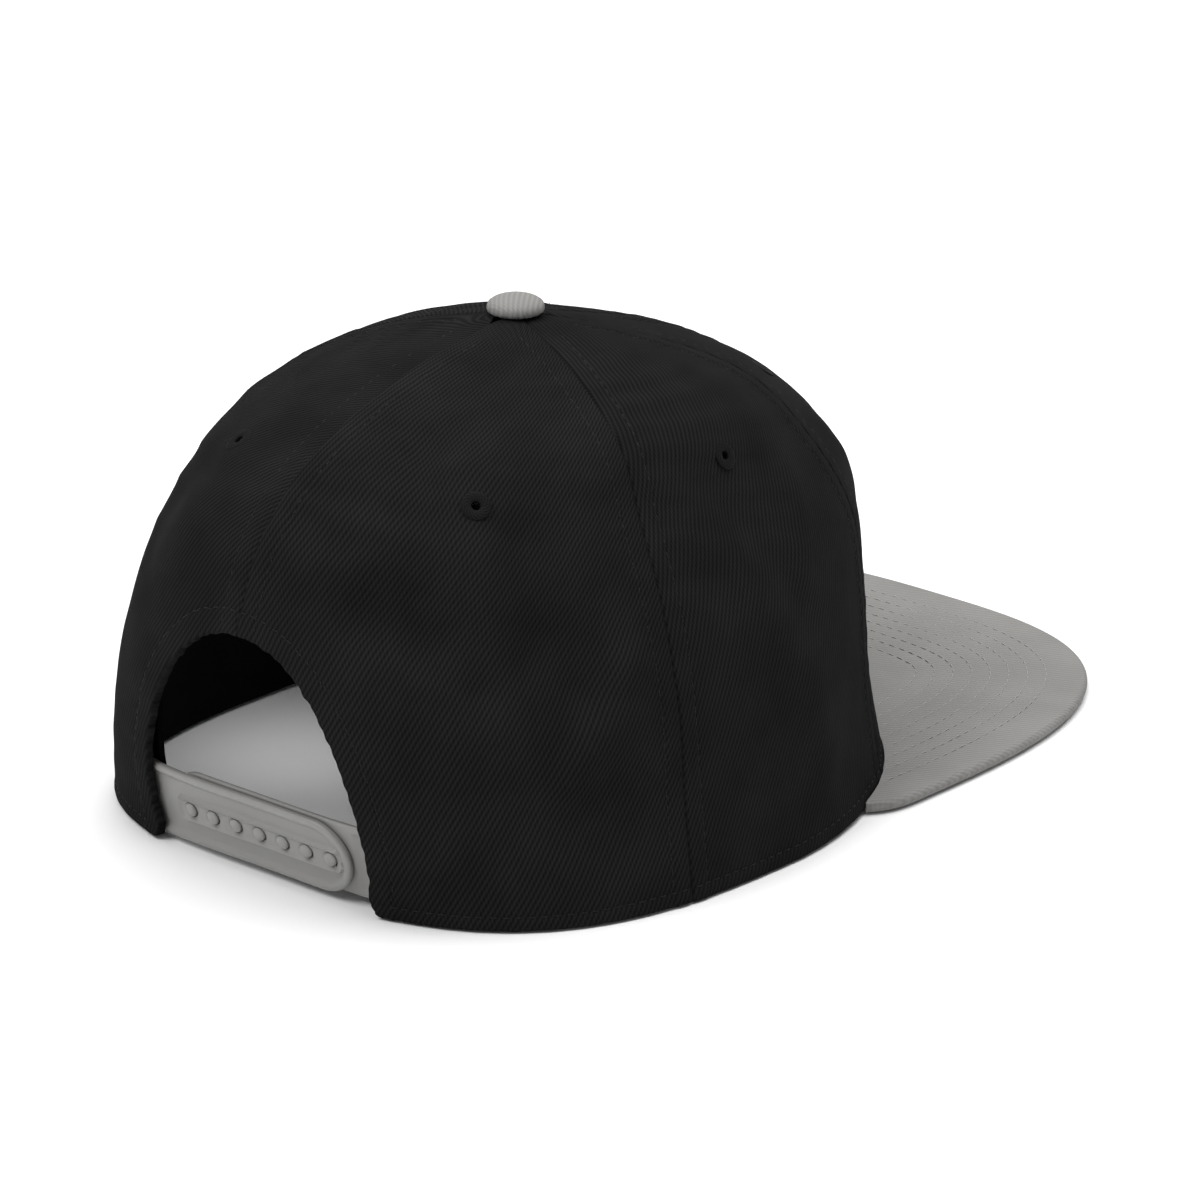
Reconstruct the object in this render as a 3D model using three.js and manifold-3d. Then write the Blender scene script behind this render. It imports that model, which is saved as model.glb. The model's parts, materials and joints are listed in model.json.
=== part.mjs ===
// A six-panel snapback cap with a flat visor, a back arch and a plastic snap closure.
// Millimetres, +Z up. The wearer looks along -Y, so the wearer's right hand is at -X.
// Sizes are worked out from the middle of the crown on the surface that the rim rests on. The
// finished cap is then moved along Y, so that the origin is under the middle of its length.
import * as THREE from 'three';
import * as BufferGeometryUtils from 'three/addons/utils/BufferGeometryUtils.js';
import Module from 'manifold-3d';

// Clearance between neighbouring pieces, and the side of the head that each copy is on
const clearance = 0.3;
const RIGHT = -1;
const LEFT = 1;

// Crown: reach of the rim from the middle, outside, and the height of its top
const crownHalfWidth = 87;
const crownFrontReach = 93.7;
const crownBackReach = 92;
const crownHeight = 120.3;
const crownLean = 1.5;
const rimLiftAtFront = 3;
const panelWall = 2;
const topHoleRadius = 3.4;

// Squareness of the level sections: 2 is an ellipse, more is boxier
const squareFront = 1.94;
const squareBack = 2.91;
const squareTop = 1.88;

// Meridian of the crown, one row for each level section, as shares of the named sizes
const crownSections = [
  { height: 0.0, front: 1.0, side: 1.0, back: 1.0 },
  { height: 0.196, front: 0.962, side: 0.958, back: 1.058 },
  { height: 0.392, front: 0.971, side: 0.924, back: 1.068 },
  { height: 0.568, front: 0.993, side: 0.847, back: 1.041 },
  { height: 0.725, front: 0.859, side: 0.719, back: 1.007 },
  { height: 0.853, front: 0.59, side: 0.607, back: 0.841 },
  { height: 0.941, front: 0.273, side: 0.346, back: 0.491 },
  { height: 1.0, front: 0.0, side: 0.0, back: 0.0 },
];

// Soft dents (minus) and swells of the cloth. Angle from the front in degrees, minus on the
// wearer's right; rise is the share of the way up the meridian; depth is in millimetres.
const softForms = [
  { angle: -154, rise: 0.43, angleSpread: 9, riseSpread: 0.09, depth: -1.6 },
  { angle: -144, rise: 0.53, angleSpread: 5, riseSpread: 0.12, depth: 1.2 },
  { angle: -132, rise: 0.16, angleSpread: 11, riseSpread: 0.07, depth: -1.8 },
  { angle: -121, rise: 0.27, angleSpread: 8, riseSpread: 0.07, depth: 1.2 },
  { angle: -84, rise: 0.54, angleSpread: 10, riseSpread: 0.08, depth: -1.4 },
  { angle: -79, rise: 0.15, angleSpread: 6, riseSpread: 0.12, depth: 1.0 },
  { angle: 84, rise: 0.5, angleSpread: 11, riseSpread: 0.09, depth: -1.2 },
  { angle: 137, rise: 0.3, angleSpread: 12, riseSpread: 0.09, depth: -1.2 },
];

// Seams between the panels, in degrees from the middle of the front
const frontSeamAtRim = 54;
const frontSeamAtTop = 34;
const backSeam = 111.5;

// The back centre seam bows toward the wearer's right over the arch: degrees, and where it starts
const backSeamBow = 3.8;
const backSeamBowFrom = 0.42;
const panelColumns = 9;
const panelRows = 15;

// Arch cut out of the back panels
const archHalfWidth = 37.2;
const archFootHalfWidth = 34.6;
const archHeight = 63;
const archSquareness = 2.1;
const archFootRise = 28;
const archCornerRadius = 5;

// Vent holes with their thread rings: one row for each
const eyeletHoleRadius = 1.15;
const eyeletBarrelRadius = 1.9;
const eyeletRingRadius = 3.5;
const eyeletRingHeight = 0.5;
const eyelets = [
  { name: 'eyelet_front_right', angle: -22, rise: 0.64 },
  { name: 'eyelet_front_left', angle: 22, rise: 0.64 },
  { name: 'eyelet_side_right', angle: -80.5, rise: 0.63 },
  { name: 'eyelet_side_left', angle: 80.5, rise: 0.63 },
  { name: 'eyelet_back_right', angle: -145, rise: 0.642 },
  { name: 'eyelet_back_left', angle: 164, rise: 0.7 },
];

// Button on the top
const buttonDiameter = 14;
const buttonHeight = 4.16;
const buttonEdgeHeight = 0.7;
const buttonUndercut = 0.45;
const buttonShankRadius = 2.4;
const buttonShankLength = 4;

// Visor: reach in front of the middle, half width, and how far behind its widest place it ends
const visorReach = 162.5;
const visorHalfWidth = 85;
const visorWidestAt = 51.5;
const visorTaperLength = 29;
const visorSquareness = 2.95;
const visorThickness = 1.8;
const visorUndersideThickness = 1;
const visorEdgeRound = 1.2;
const visorEdgeFlat = 0.36;
const visorUndersideInset = 0.8;
const visorTipWidth = 1.6;
const visorColumns = 36;
const visorRows = 4;

// Band inside the rim
const bandHeight = 36;
const bandThickness = 1.2;
const bandClearance = 0.6;
const bandColumns = 34;
const bandRows = 4;
const bandStepFrom = 136;
const bandStepTo = 150;

// Snap closure: two plastic straps, the outer one with holes and the inner one with pegs
const strapHeight = 19.4;
const strapBase = 0.6;
const strapPlate = 1.2;
const strapRelief = 0.5;
const strapRimWidth = 1.6;
const strapPlateauHeight = 6.4;
const strapPlateauMargin = 4.2;
const strapTabLength = 8;
const strapFlattening = 1.2;
const strapEndRounding = 11;
const strapEndFlat = 4.5;
const strapPlateauRoot = 0.4;
const socketStrapEnd = -29;
const pegStrapEnd = 31.5;
const pegCount = 7;
const pegPitch = 7.8;
const pegFirst = 23.6;
const pegShankRadius = 1.3;
const pegHeadRadius = 1.9;
const pegHeadHeight = 1.2;
const pegHoleClearance = 0.35;
const strapColumns = 12;
const pegSides = 10;
const eyeletSides = 12;

// Colours and finishes
const blackTwill = { color: 0x262628, roughness: 0.95, metalness: 0 };
const greyTwill = { color: 0x8f8e8c, roughness: 0.95, metalness: 0 };
const blackBand = { color: 0x161618, roughness: 0.9, metalness: 0 };
const greyThread = { color: 0x2c2c2e, roughness: 0.9, metalness: 0 };
const greyPlastic = { color: 0x81807e, roughness: 0.45, metalness: 0 };

const wasm = await Module();
wasm.setup();

// Helpers for numbers

const radians = THREE.MathUtils.degToRad;
const degrees = THREE.MathUtils.radToDeg;
const clamp = THREE.MathUtils.clamp;
const lerp = THREE.MathUtils.lerp;
const smoothstep = THREE.MathUtils.smoothstep;

function signedPower(value, exponent) {
  return Math.sign(value) * Math.abs(value) ** exponent;
}

// Smooth curve through one column of a table whose rows are evenly spaced along the share
function column(rows, key, share) {
  const last = rows.length - 1;
  const place = clamp(share, 0, 1) * last;
  const index = Math.min(Math.floor(place), last - 1);
  const value = (row) => rows[clamp(row, 0, last)][key];
  const before = index > 0 ? value(index - 1) : 2 * value(0) - value(1);
  const after = index + 2 <= last ? value(index + 2) : 2 * value(last) - value(last - 1);
  const start = value(index);
  const end = value(index + 1);
  const f = place - index;
  const cubic = 3 * (start - end) + after - before;
  const square = 2 * before - 5 * start + 4 * end - after;
  return start + 0.5 * f * (end - before + f * (square + f * cubic));
}

// The number between low and high where a rising function reaches the target
function solve(rising, target, low, high) {
  let from = low;
  let to = high;
  for (let step = 0; step < 40; step += 1) {
    const middle = (from + to) / 2;
    if (rising(middle) < target) from = middle;
    else to = middle;
  }
  return (from + to) / 2;
}

// Helpers for solids

// Closed solid between two grids of points of the same size, such as the two sides of a cloth
function slab(outer, inner) {
  const rows = outer.length;
  const columns = outer[0].length;
  const positions = [...outer.flat(), ...inner.flat()].flatMap((p) => [p.x, p.y, p.z]);
  const out = (r, c) => r * columns + c;
  const back = (r, c) => rows * columns + r * columns + c;
  const index = [];
  const quad = (a, b, c, d) => index.push(a, b, c, a, c, d);
  for (let r = 0; r < rows - 1; r += 1) {
    for (let c = 0; c < columns - 1; c += 1) {
      quad(out(r, c), out(r, c + 1), out(r + 1, c + 1), out(r + 1, c));
      quad(back(r, c), back(r + 1, c), back(r + 1, c + 1), back(r, c + 1));
    }
  }
  for (let c = 0; c < columns - 1; c += 1) {
    quad(out(0, c), back(0, c), back(0, c + 1), out(0, c + 1));
    quad(out(rows - 1, c), out(rows - 1, c + 1), back(rows - 1, c + 1), back(rows - 1, c));
  }
  for (let r = 0; r < rows - 1; r += 1) {
    quad(out(r, 0), out(r + 1, 0), back(r + 1, 0), back(r, 0));
    quad(out(r, columns - 1), back(r, columns - 1), back(r + 1, columns - 1), out(r + 1, columns - 1));
  }
  return facingOut(makeGeometry(positions, index));
}

function makeGeometry(positions, index) {
  const geometry = new THREE.BufferGeometry();
  geometry.setAttribute('position', new THREE.Float32BufferAttribute(positions, 3));
  geometry.setIndex(index);
  return geometry;
}

// Turns every face over where the solid's signed volume is negative
function facingOut(geometry) {
  const position = geometry.getAttribute('position');
  const index = geometry.getIndex();
  const a = new THREE.Vector3();
  const b = new THREE.Vector3();
  const c = new THREE.Vector3();
  let volume = 0;
  for (let i = 0; i < index.count; i += 3) {
    a.fromBufferAttribute(position, index.getX(i));
    b.fromBufferAttribute(position, index.getX(i + 1));
    c.fromBufferAttribute(position, index.getX(i + 2));
    volume += a.dot(b.cross(c));
  }
  if (volume < 0) {
    for (let i = 0; i < index.count; i += 3) {
      const second = index.getX(i + 1);
      index.setX(i + 1, index.getX(i + 2));
      index.setX(i + 2, second);
    }
  }
  return geometry;
}

// Three.js shapes repeat vertices along their seams; this leaves one vertex at each place
function weld(geometry) {
  const bare = geometry.clone();
  bare.deleteAttribute('normal');
  bare.deleteAttribute('uv');
  return facingOut(BufferGeometryUtils.mergeVertices(bare, 1e-4));
}

function toSolid(geometry) {
  const merged = weld(geometry);
  return new wasm.Manifold(new wasm.Mesh({
    numProp: 3,
    vertProperties: new Float32Array(merged.getAttribute('position').array),
    triVerts: new Uint32Array(merged.getIndex().array),
  }));
}

function fromSolid(solid) {
  const mesh = solid.getMesh();
  return makeGeometry(Array.from(mesh.vertProperties), Array.from(mesh.triVerts));
}

// Body turned round the Y axis from a closed profile of [radius, height] pairs
function turned(profile, sides) {
  const points = profile.map(([radius, height]) => new THREE.Vector2(radius, height));
  return weld(new THREE.LatheGeometry(points, sides));
}

// Moves a body whose axis is +Y so that it stands at a point along a direction
function standing(geometry, point, direction) {
  const turn = new THREE.Quaternion().setFromUnitVectors(new THREE.Vector3(0, 1, 0), direction);
  return geometry.clone().applyQuaternion(turn).translate(point.x, point.y, point.z);
}

// The crown's surface

// How far the rim stands off the surface: lifted in front, flat from the sides to the back
function rimLift(angle) {
  return rimLiftAtFront * Math.max(Math.cos(radians(angle)), 0) ** 1.5;
}

function softDepth(angle, rise) {
  return softForms.reduce((sum, form) => {
    const across = (angle - form.angle) / form.angleSpread;
    const up = (rise - form.rise) / form.riseSpread;
    return sum + form.depth * Math.exp(-across * across - up * up);
  }, 0);
}

// Point of the crown's plain outside. Rise goes from 0 at the rim to 1 at the top.
function plainCrownPoint(angle, rise, swell = 0) {
  const sine = Math.sin(radians(angle));
  const cosine = Math.cos(radians(angle));
  const height = column(crownSections, 'height', rise);
  const width = column(crownSections, 'side', rise) * crownHalfWidth;
  const frontReach = column(crownSections, 'front', rise) * crownFrontReach;
  const backReach = column(crownSections, 'back', rise) * crownBackReach;
  const reach = cosine > 0 ? frontReach : backReach;
  const square = lerp(cosine > 0 ? squareFront : squareBack, squareTop, height);
  const sum = Math.abs(sine / width) ** square + Math.abs(cosine / reach) ** square;
  const radius = sum ** (-1 / square) + swell;
  const z = rimLift(angle) * (1 - height) + crownHeight * height;
  return new THREE.Vector3(radius * sine, crownLean * height - radius * cosine, z);
}

function crownNormal(angle, rise) {
  const step = 0.004;
  const low = plainCrownPoint(angle, Math.max(rise - step, 0));
  const high = plainCrownPoint(angle, Math.min(rise + step, 1 - step));
  const before = plainCrownPoint(angle - 0.5, rise);
  const after = plainCrownPoint(angle + 0.5, rise);
  return after.sub(before).cross(high.sub(low)).normalize();
}

// Point of the crown with its dents, at a depth under the outside. The rim's edge stays level.
function crownPoint(angle, rise, depth = 0) {
  const normal = crownNormal(angle, rise);
  normal.z *= smoothstep(rise, 0, 0.06);
  const point = plainCrownPoint(angle, rise);
  const soft = softDepth(angle, rise) * smoothstep(rise, 0, 0.1);
  return point.addScaledVector(normal, soft - depth);
}

// Rise at which the crown's plain outside has this height at the back
function riseAtHeight(height) {
  return solve((rise) => plainCrownPoint(180, rise).z, height, 0, 0.9);
}

// Angle at the back where the crown has this X, on either side
function angleAtX(x, rise) {
  const angle = solve((turn) => -plainCrownPoint(turn, rise).x, -Math.abs(x), 120, 180);
  return x < 0 ? -angle : angle;
}

// Panels

// Size of a seam's angle from the front, as measured round one side
function seamAngle(seam, rise, side) {
  const share = Math.max(rise - backSeamBowFrom, 0) / (1 - backSeamBowFrom);
  const angles = {
    front_centre: 0,
    front_side: lerp(frontSeamAtRim, frontSeamAtTop, rise),
    side_back: backSeam,
    back_centre: 180 + side * backSeamBow * Math.sin(Math.PI * share),
  };
  return angles[seam];
}

function panelGeometry(side, firstSeam, lastSeam) {
  const topRise = solve((rise) => -plainCrownPoint(90, rise).x, -topHoleRadius, 0.8, 1);
  const grid = (depth) => Array.from({ length: panelRows + 1 }, (_, row) => {
    const rise = topRise * (row / panelRows);
    const radius = plainCrownPoint(90, rise).x;
    const inset = degrees(clearance / 2 / radius);
    const from = seamAngle(firstSeam, rise, side) + inset;
    const to = seamAngle(lastSeam, rise, side) - inset;
    return Array.from({ length: panelColumns + 1 }, (__, c) => {
      return crownPoint(side * lerp(from, to, c / panelColumns), rise, depth);
    });
  });
  return slab(grid(0), grid(panelWall));
}

// Arch outline from one foot round to the other, as [x, z] pairs
function archOutline() {
  const steps = 12;
  const half = [];
  for (let step = 0; step <= steps; step += 1) {
    const turn = radians(90 * (step / steps));
    const z = archHeight * signedPower(Math.sin(turn), 2 / archSquareness);
    const wide = archHalfWidth * signedPower(Math.cos(turn), 2 / archSquareness);
    const foot = clamp(1 - z / archFootRise, 0, 1) ** 2;
    if (z > archCornerRadius) half.push([wide - foot * (archHalfWidth - archFootHalfWidth), z]);
  }
  const corner = [];
  for (let step = 0; step <= 4; step += 1) {
    const turn = radians(90 * (step / 4));
    const x = archFootHalfWidth + archCornerRadius * (1 - Math.sin(turn));
    corner.push([x, archCornerRadius * (1 - Math.cos(turn))]);
  }
  const below = [[archFootHalfWidth + archCornerRadius, -panelWall]];
  const right = [...below, ...corner, ...half];
  const mirrored = right.slice(0, -1).reverse().map(([x, z]) => [-x, z]);
  return [...right, ...mirrored];
}

function archCutter() {
  const shape = new THREE.Shape(archOutline().map(([x, z]) => new THREE.Vector2(x, z)));
  const depth = crownBackReach;
  const extruded = new THREE.ExtrudeGeometry(shape, { depth, bevelEnabled: false });
  return extruded.rotateX(Math.PI / 2).translate(0, depth + crownBackReach / 3, 0);
}

function eyeletHole({ angle, rise }) {
  const radius = eyeletBarrelRadius + clearance;
  const bore = new THREE.CylinderGeometry(radius, radius, 6 * panelWall, eyeletSides);
  return standing(bore, crownPoint(angle, rise, panelWall / 2), crownNormal(angle, rise));
}

function eyeletGeometry({ angle, rise }) {
  const under = -panelWall - eyeletRingHeight / 2;
  const seat = clearance;
  const crest = seat + eyeletRingHeight;
  const middle = (eyeletHoleRadius + eyeletRingRadius) / 2;
  const profile = [
    [eyeletHoleRadius, under],
    [eyeletBarrelRadius, under],
    [eyeletBarrelRadius, seat],
    [eyeletRingRadius, seat],
    [eyeletRingRadius, seat + eyeletRingHeight / 2],
    [middle, crest],
    [eyeletHoleRadius, seat + eyeletRingHeight / 2],
    [eyeletHoleRadius, under],
  ];
  const ring = turned(profile, eyeletSides);
  return standing(ring, crownPoint(angle, rise), crownNormal(angle, rise));
}

const panels = [
  { name: 'panel_front_right', side: RIGHT, seams: ['front_centre', 'front_side'] },
  { name: 'panel_front_left', side: LEFT, seams: ['front_centre', 'front_side'] },
  { name: 'panel_side_right', side: RIGHT, seams: ['front_side', 'side_back'] },
  { name: 'panel_side_left', side: LEFT, seams: ['front_side', 'side_back'] },
  { name: 'panel_back_right', side: RIGHT, seams: ['side_back', 'back_centre'] },
  { name: 'panel_back_left', side: LEFT, seams: ['side_back', 'back_centre'] },
];

// Whether a vent hole lies in a panel, by the seams on both sides of it
function holds(panel, { angle, rise }) {
  const turn = angle * panel.side;
  const [first, last] = panel.seams;
  return turn > seamAngle(first, rise, panel.side) && turn < seamAngle(last, rise, panel.side);
}

function cutPanel(panel) {
  let solid = toSolid(panelGeometry(panel.side, ...panel.seams));
  eyelets.filter((eyelet) => holds(panel, eyelet)).forEach((eyelet) => {
    solid = solid.subtract(toSolid(eyeletHole(eyelet)));
  });
  if (panel.seams.includes('back_centre')) solid = solid.subtract(toSolid(archCutter()));
  return fromSolid(solid);
}

// Button: a flat dome whose underside follows the top of the crown, with a stub in the hole

function crownTopAtRadius(radius) {
  const heights = [0, 90, 180].map((angle) => {
    const reach = (rise) => -Math.hypot(
      plainCrownPoint(angle, rise).x,
      plainCrownPoint(angle, rise).y - crownLean,
    );
    const rise = solve(reach, -radius, 0.6, 1);
    return plainCrownPoint(angle, rise).z;
  });
  return Math.max(...heights);
}

function buttonGeometry() {
  const radius = buttonDiameter / 2;
  const edge = crownTopAtRadius(radius) + clearance;
  const seat = crownTopAtRadius(topHoleRadius + clearance) + clearance;
  const profile = [
    [0, seat - buttonShankLength],
    [buttonShankRadius, seat - buttonShankLength],
    [buttonShankRadius, seat],
    [topHoleRadius + clearance, seat],
    [radius - buttonUndercut, edge],
    [radius, edge + buttonEdgeHeight],
  ];
  const rounds = 5;
  for (let step = 1; step <= rounds; step += 1) {
    const turn = radians(90 * (step / rounds));
    const dome = lerp(buttonEdgeHeight, buttonHeight, Math.sin(turn));
    profile.push([radius * Math.cos(turn) * (step < rounds), edge + dome]);
  }
  return turned(profile, 24).rotateX(Math.PI / 2).translate(0, crownLean, 0);
}

// Visor

// Outline of the visor: turn goes from 0 in front past 90 at the widest place
function visorEdge(turn, inset = 0) {
  const sine = Math.sin(radians(turn));
  const cosine = Math.cos(radians(turn));
  const front = visorReach - visorWidestAt - inset;
  const reach = cosine > 0 ? front : visorTaperLength;
  const x = (visorHalfWidth - inset) * signedPower(sine, 2 / visorSquareness);
  const y = -visorWidestAt - reach * signedPower(cosine, 2 / visorSquareness);
  return new THREE.Vector2(x, y);
}

// Place on the rim's outside with the same bearing from the middle, moved out by a clearance
function rimBeside(bearing) {
  const rim = plainCrownPoint(bearing, 0, clearance);
  return new THREE.Vector2(rim.x, rim.y);
}

function bearingOf(point) {
  return degrees(Math.atan2(point.x, -point.y));
}

// Turn at which the outline runs into the rim on each side
function visorEndTurn(inset) {
  const behind = (turn) => {
    const edge = visorEdge(turn, inset);
    return rimBeside(bearingOf(edge)).length() - edge.length();
  };
  return solve(behind, -visorTipWidth, 90, 170);
}

// Flat sheet from the rim to the outline, rounded a little at its outer edge
function visorSheet(bottom, thickness, inset, round) {
  const endTurn = visorEndTurn(inset);
  const endBearing = bearingOf(visorEdge(endTurn, inset));
  const level = (lift, edgeLift) => Array.from({ length: visorRows + 2 }, (_, row) => {
    return Array.from({ length: visorColumns + 1 }, (__, c) => {
      const across = 2 * (c / visorColumns) - 1;
      const outer = visorEdge(across * endTurn, inset);
      const inner = rimBeside(across * endBearing);
      const width = outer.distanceTo(inner);
      const flat = Math.max(1 - round / width, 0.4);
      const share = row > visorRows ? 1 : flat * (row / visorRows);
      const point = inner.clone().lerp(outer, share);
      const z = bottom + (row > visorRows ? edgeLift : lift);
      return new THREE.Vector3(point.x, point.y, z);
    });
  });
  const roundUnder = thickness * (1 - visorEdgeFlat) / 2;
  return slab(level(thickness, thickness - roundUnder), level(0, roundUnder));
}

// Band inside the rim

// Depth of the band's outer face: it steps inward behind the tab of the strap on its side
function bandDepth(angle) {
  const step = smoothstep(Math.abs(angle), bandStepFrom, bandStepTo);
  return panelWall + bandClearance + step * (angle < 0 ? pegBack : socketBack);
}

function bandGeometry() {
  const bottomRise = riseAtHeight(strapBase);
  const topRise = riseAtHeight(bandHeight);
  const endAngle = angleAtX(archFootHalfWidth, 0);
  const grid = (depth) => Array.from({ length: bandRows + 1 }, (_, row) => {
    const rise = lerp(bottomRise, topRise, row / bandRows);
    return Array.from({ length: bandColumns + 1 }, (__, c) => {
      const angle = lerp(-endAngle, endAngle, c / bandColumns);
      return crownPoint(angle, rise, bandDepth(angle) + depth);
    });
  });
  return slab(grid(0), grid(bandThickness));
}

// Snap closure

// Half height of a strap at a distance from its end, which is half an ellipse, less an inset
function strapHalfHeight(fromEnd, inset) {
  const full = strapHeight / 2 - inset;
  const length = Math.max(strapEndRounding - inset, clearance);
  if (fromEnd >= length) return full;
  const arc = Math.sqrt(1 - (1 - fromEnd / length) ** 2);
  return full * Math.max(arc, strapEndFlat / strapHeight);
}

// Point on the closure: x across the back, up from the strap's foot, depth under the crown
function strapPoint(x, up, depth) {
  const rise = riseAtHeight(strapBase + up);
  const angle = angleAtX(x, rise);
  const normal = crownNormal(angle, rise);
  const share = clamp(Math.abs(x) / archFootHalfWidth, 0, 1);
  const flat = strapFlattening * (1 - share * share);
  return plainCrownPoint(angle, rise).addScaledVector(normal, -panelWall - clearance - depth - flat);
}

// Plate between two places across the back, rounded at one end or both, at a range of depths
function strapSheet({ from, to, inset, outer, inner, roundFrom }) {
  const length = Math.abs(to - from);
  const ends = [0, 0.06, 0.14, 0.3, 0.55].map((share) => share * strapEndRounding);
  const middle = Array.from({ length: strapColumns + 1 }, (_, c) => {
    return lerp(strapEndRounding, length - strapEndRounding, c / strapColumns);
  });
  const far = ends.map((distance) => length - distance).reverse();
  const places = [...ends, ...middle, ...far];
  const grid = (depth) => [-1, 0, 1].map((level) => places.map((place) => {
    const x = lerp(from, to, place / length);
    const toRound = strapHalfHeight(length - place, inset);
    const fromRound = roundFrom ? strapHalfHeight(place, inset) : strapHeight / 2 - inset;
    const half = Math.min(toRound, fromRound);
    return strapPoint(x, strapHeight / 2 + level * half, depth);
  }));
  return toSolid(slab(grid(outer), grid(inner)));
}

function pegPlaces() {
  return Array.from({ length: pegCount }, (_, index) => pegFirst - index * pegPitch);
}

// Depth of each layer of the closure under the crown's inner face
const socketFace = strapRelief;
const socketBack = strapRelief + strapPlate;
const pegFace = socketBack + clearance;
const pegBack = pegFace + strapPlate;
const tabPlace = archFootHalfWidth + strapTabLength;

function socketStrap() {
  const whole = { from: tabPlace, to: socketStrapEnd, roundFrom: false };
  const raised = {
    from: pegFirst + strapPlateauMargin,
    to: pegFirst - (pegCount - 1) * pegPitch - strapPlateauMargin,
    roundFrom: true,
  };
  const plate = strapSheet({ ...whole, inset: 0, outer: 0, inner: socketBack });
  const recess = strapSheet({
    from: whole.from + strapHeight,
    to: whole.to + strapRimWidth,
    roundFrom: false,
    inset: strapRimWidth,
    outer: -1,
    inner: socketFace,
  });
  const plateau = strapSheet({
    ...raised,
    inset: (strapHeight - strapPlateauHeight) / 2,
    outer: 0,
    inner: socketBack - strapPlateauRoot,
  });
  let strap = plate.subtract(recess).add(plateau);
  const radius = pegHeadRadius + pegHoleClearance;
  pegPlaces().forEach((x) => {
    const hole = new THREE.CylinderGeometry(radius, radius, 12, pegSides);
    const rise = riseAtHeight(strapBase + strapHeight / 2);
    const direction = crownNormal(angleAtX(x, rise), rise);
    strap = strap.subtract(toSolid(standing(hole, strapPoint(x, strapHeight / 2, 0), direction)));
  });
  return fromSolid(strap);
}

function pegStrap() {
  const sheet = {
    from: -tabPlace,
    to: pegStrapEnd,
    inset: 0,
    outer: pegFace,
    inner: pegBack,
    roundFrom: false,
  };
  let strap = strapSheet(sheet);
  const neck = pegFace + clearance;
  const profile = [
    [0, -strapPlate / 2],
    [pegShankRadius, -strapPlate / 2],
    [pegShankRadius, neck],
    [pegHeadRadius, neck],
    [pegHeadRadius * 0.92, neck + pegHeadHeight * 0.5],
    [pegHeadRadius * 0.6, neck + pegHeadHeight * 0.88],
    [0, neck + pegHeadHeight],
  ];
  pegPlaces().forEach((x) => {
    const peg = turned(profile, pegSides);
    const rise = riseAtHeight(strapBase + strapHeight / 2);
    const direction = crownNormal(angleAtX(x, rise), rise);
    strap = strap.add(toSolid(standing(peg, strapPoint(x, strapHeight / 2, pegFace), direction)));
  });
  return fromSolid(strap);
}

// Assembly

function piece(name, geometry, finish) {
  const flat = geometry.toNonIndexed();
  flat.computeVertexNormals();
  const mesh = new THREE.Mesh(flat, new THREE.MeshStandardMaterial(finish));
  mesh.name = name;
  return mesh;
}

const cap = new THREE.Group();
panels.forEach((panel) => cap.add(piece(panel.name, cutPanel(panel), blackTwill)));
eyelets.forEach((eyelet) => cap.add(piece(eyelet.name, eyeletGeometry(eyelet), greyThread)));
cap.add(piece('crown_button', buttonGeometry(), greyTwill));

const visorBottom = visorUndersideThickness + clearance;
const visorTop = visorSheet(visorBottom, visorThickness, 0, visorEdgeRound);
cap.add(piece('visor', visorTop, greyTwill));
const underside = visorSheet(0, visorUndersideThickness, visorUndersideInset, visorEdgeRound / 2);
cap.add(piece('visor_underside', underside, greyTwill));

cap.add(piece('sweatband', bandGeometry(), blackBand));
cap.add(piece('snap_strap_sockets', socketStrap(), greyPlastic));
cap.add(piece('snap_strap_pegs', pegStrap(), greyPlastic));

const extent = new THREE.Box3().setFromObject(cap);
cap.position.y = -(extent.min.y + extent.max.y) / 2;

export default cap;
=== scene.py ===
"""A six-panel snapback cap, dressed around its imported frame.

The construction's pieces give the sizes and the places. This script lays fine surfaces over them:
woven panels with rolled seams and topstitching, a quilted flat visor, a cloth button, thread rings
round the vent holes, an inner band and the moulded snap closure. Shapes are worked out in
millimetres from the middle of the crown on the surface that the rim rests on, and Place turns them
into metres in the shared frame.
"""
import json
import logging
import math
from collections.abc import Callable
from dataclasses import dataclass, field
from enum import Enum
from functools import reduce

import bmesh
import bpy
import numpy as np
from mathutils import Matrix, Vector

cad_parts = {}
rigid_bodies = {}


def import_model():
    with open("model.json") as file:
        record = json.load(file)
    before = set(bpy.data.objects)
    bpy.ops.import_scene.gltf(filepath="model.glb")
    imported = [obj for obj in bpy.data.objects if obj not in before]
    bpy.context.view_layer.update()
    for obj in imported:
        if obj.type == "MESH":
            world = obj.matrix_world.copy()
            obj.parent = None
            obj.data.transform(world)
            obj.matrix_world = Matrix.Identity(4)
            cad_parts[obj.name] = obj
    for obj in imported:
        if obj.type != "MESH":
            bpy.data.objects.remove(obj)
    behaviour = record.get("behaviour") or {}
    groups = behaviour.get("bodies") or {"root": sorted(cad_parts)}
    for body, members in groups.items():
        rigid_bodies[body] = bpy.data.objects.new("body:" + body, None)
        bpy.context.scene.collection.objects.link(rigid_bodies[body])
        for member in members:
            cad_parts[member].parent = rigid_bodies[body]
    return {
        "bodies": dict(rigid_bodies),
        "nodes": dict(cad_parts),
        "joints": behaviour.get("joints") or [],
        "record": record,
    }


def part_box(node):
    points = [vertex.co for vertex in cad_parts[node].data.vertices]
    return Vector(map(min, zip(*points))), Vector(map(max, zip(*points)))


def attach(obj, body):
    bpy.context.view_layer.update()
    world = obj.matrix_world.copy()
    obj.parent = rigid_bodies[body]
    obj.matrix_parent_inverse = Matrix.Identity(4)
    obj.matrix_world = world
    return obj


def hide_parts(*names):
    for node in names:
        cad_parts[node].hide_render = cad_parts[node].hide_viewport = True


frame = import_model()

Array = np.ndarray
LOG = logging.getLogger("snapback_cap")
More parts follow.
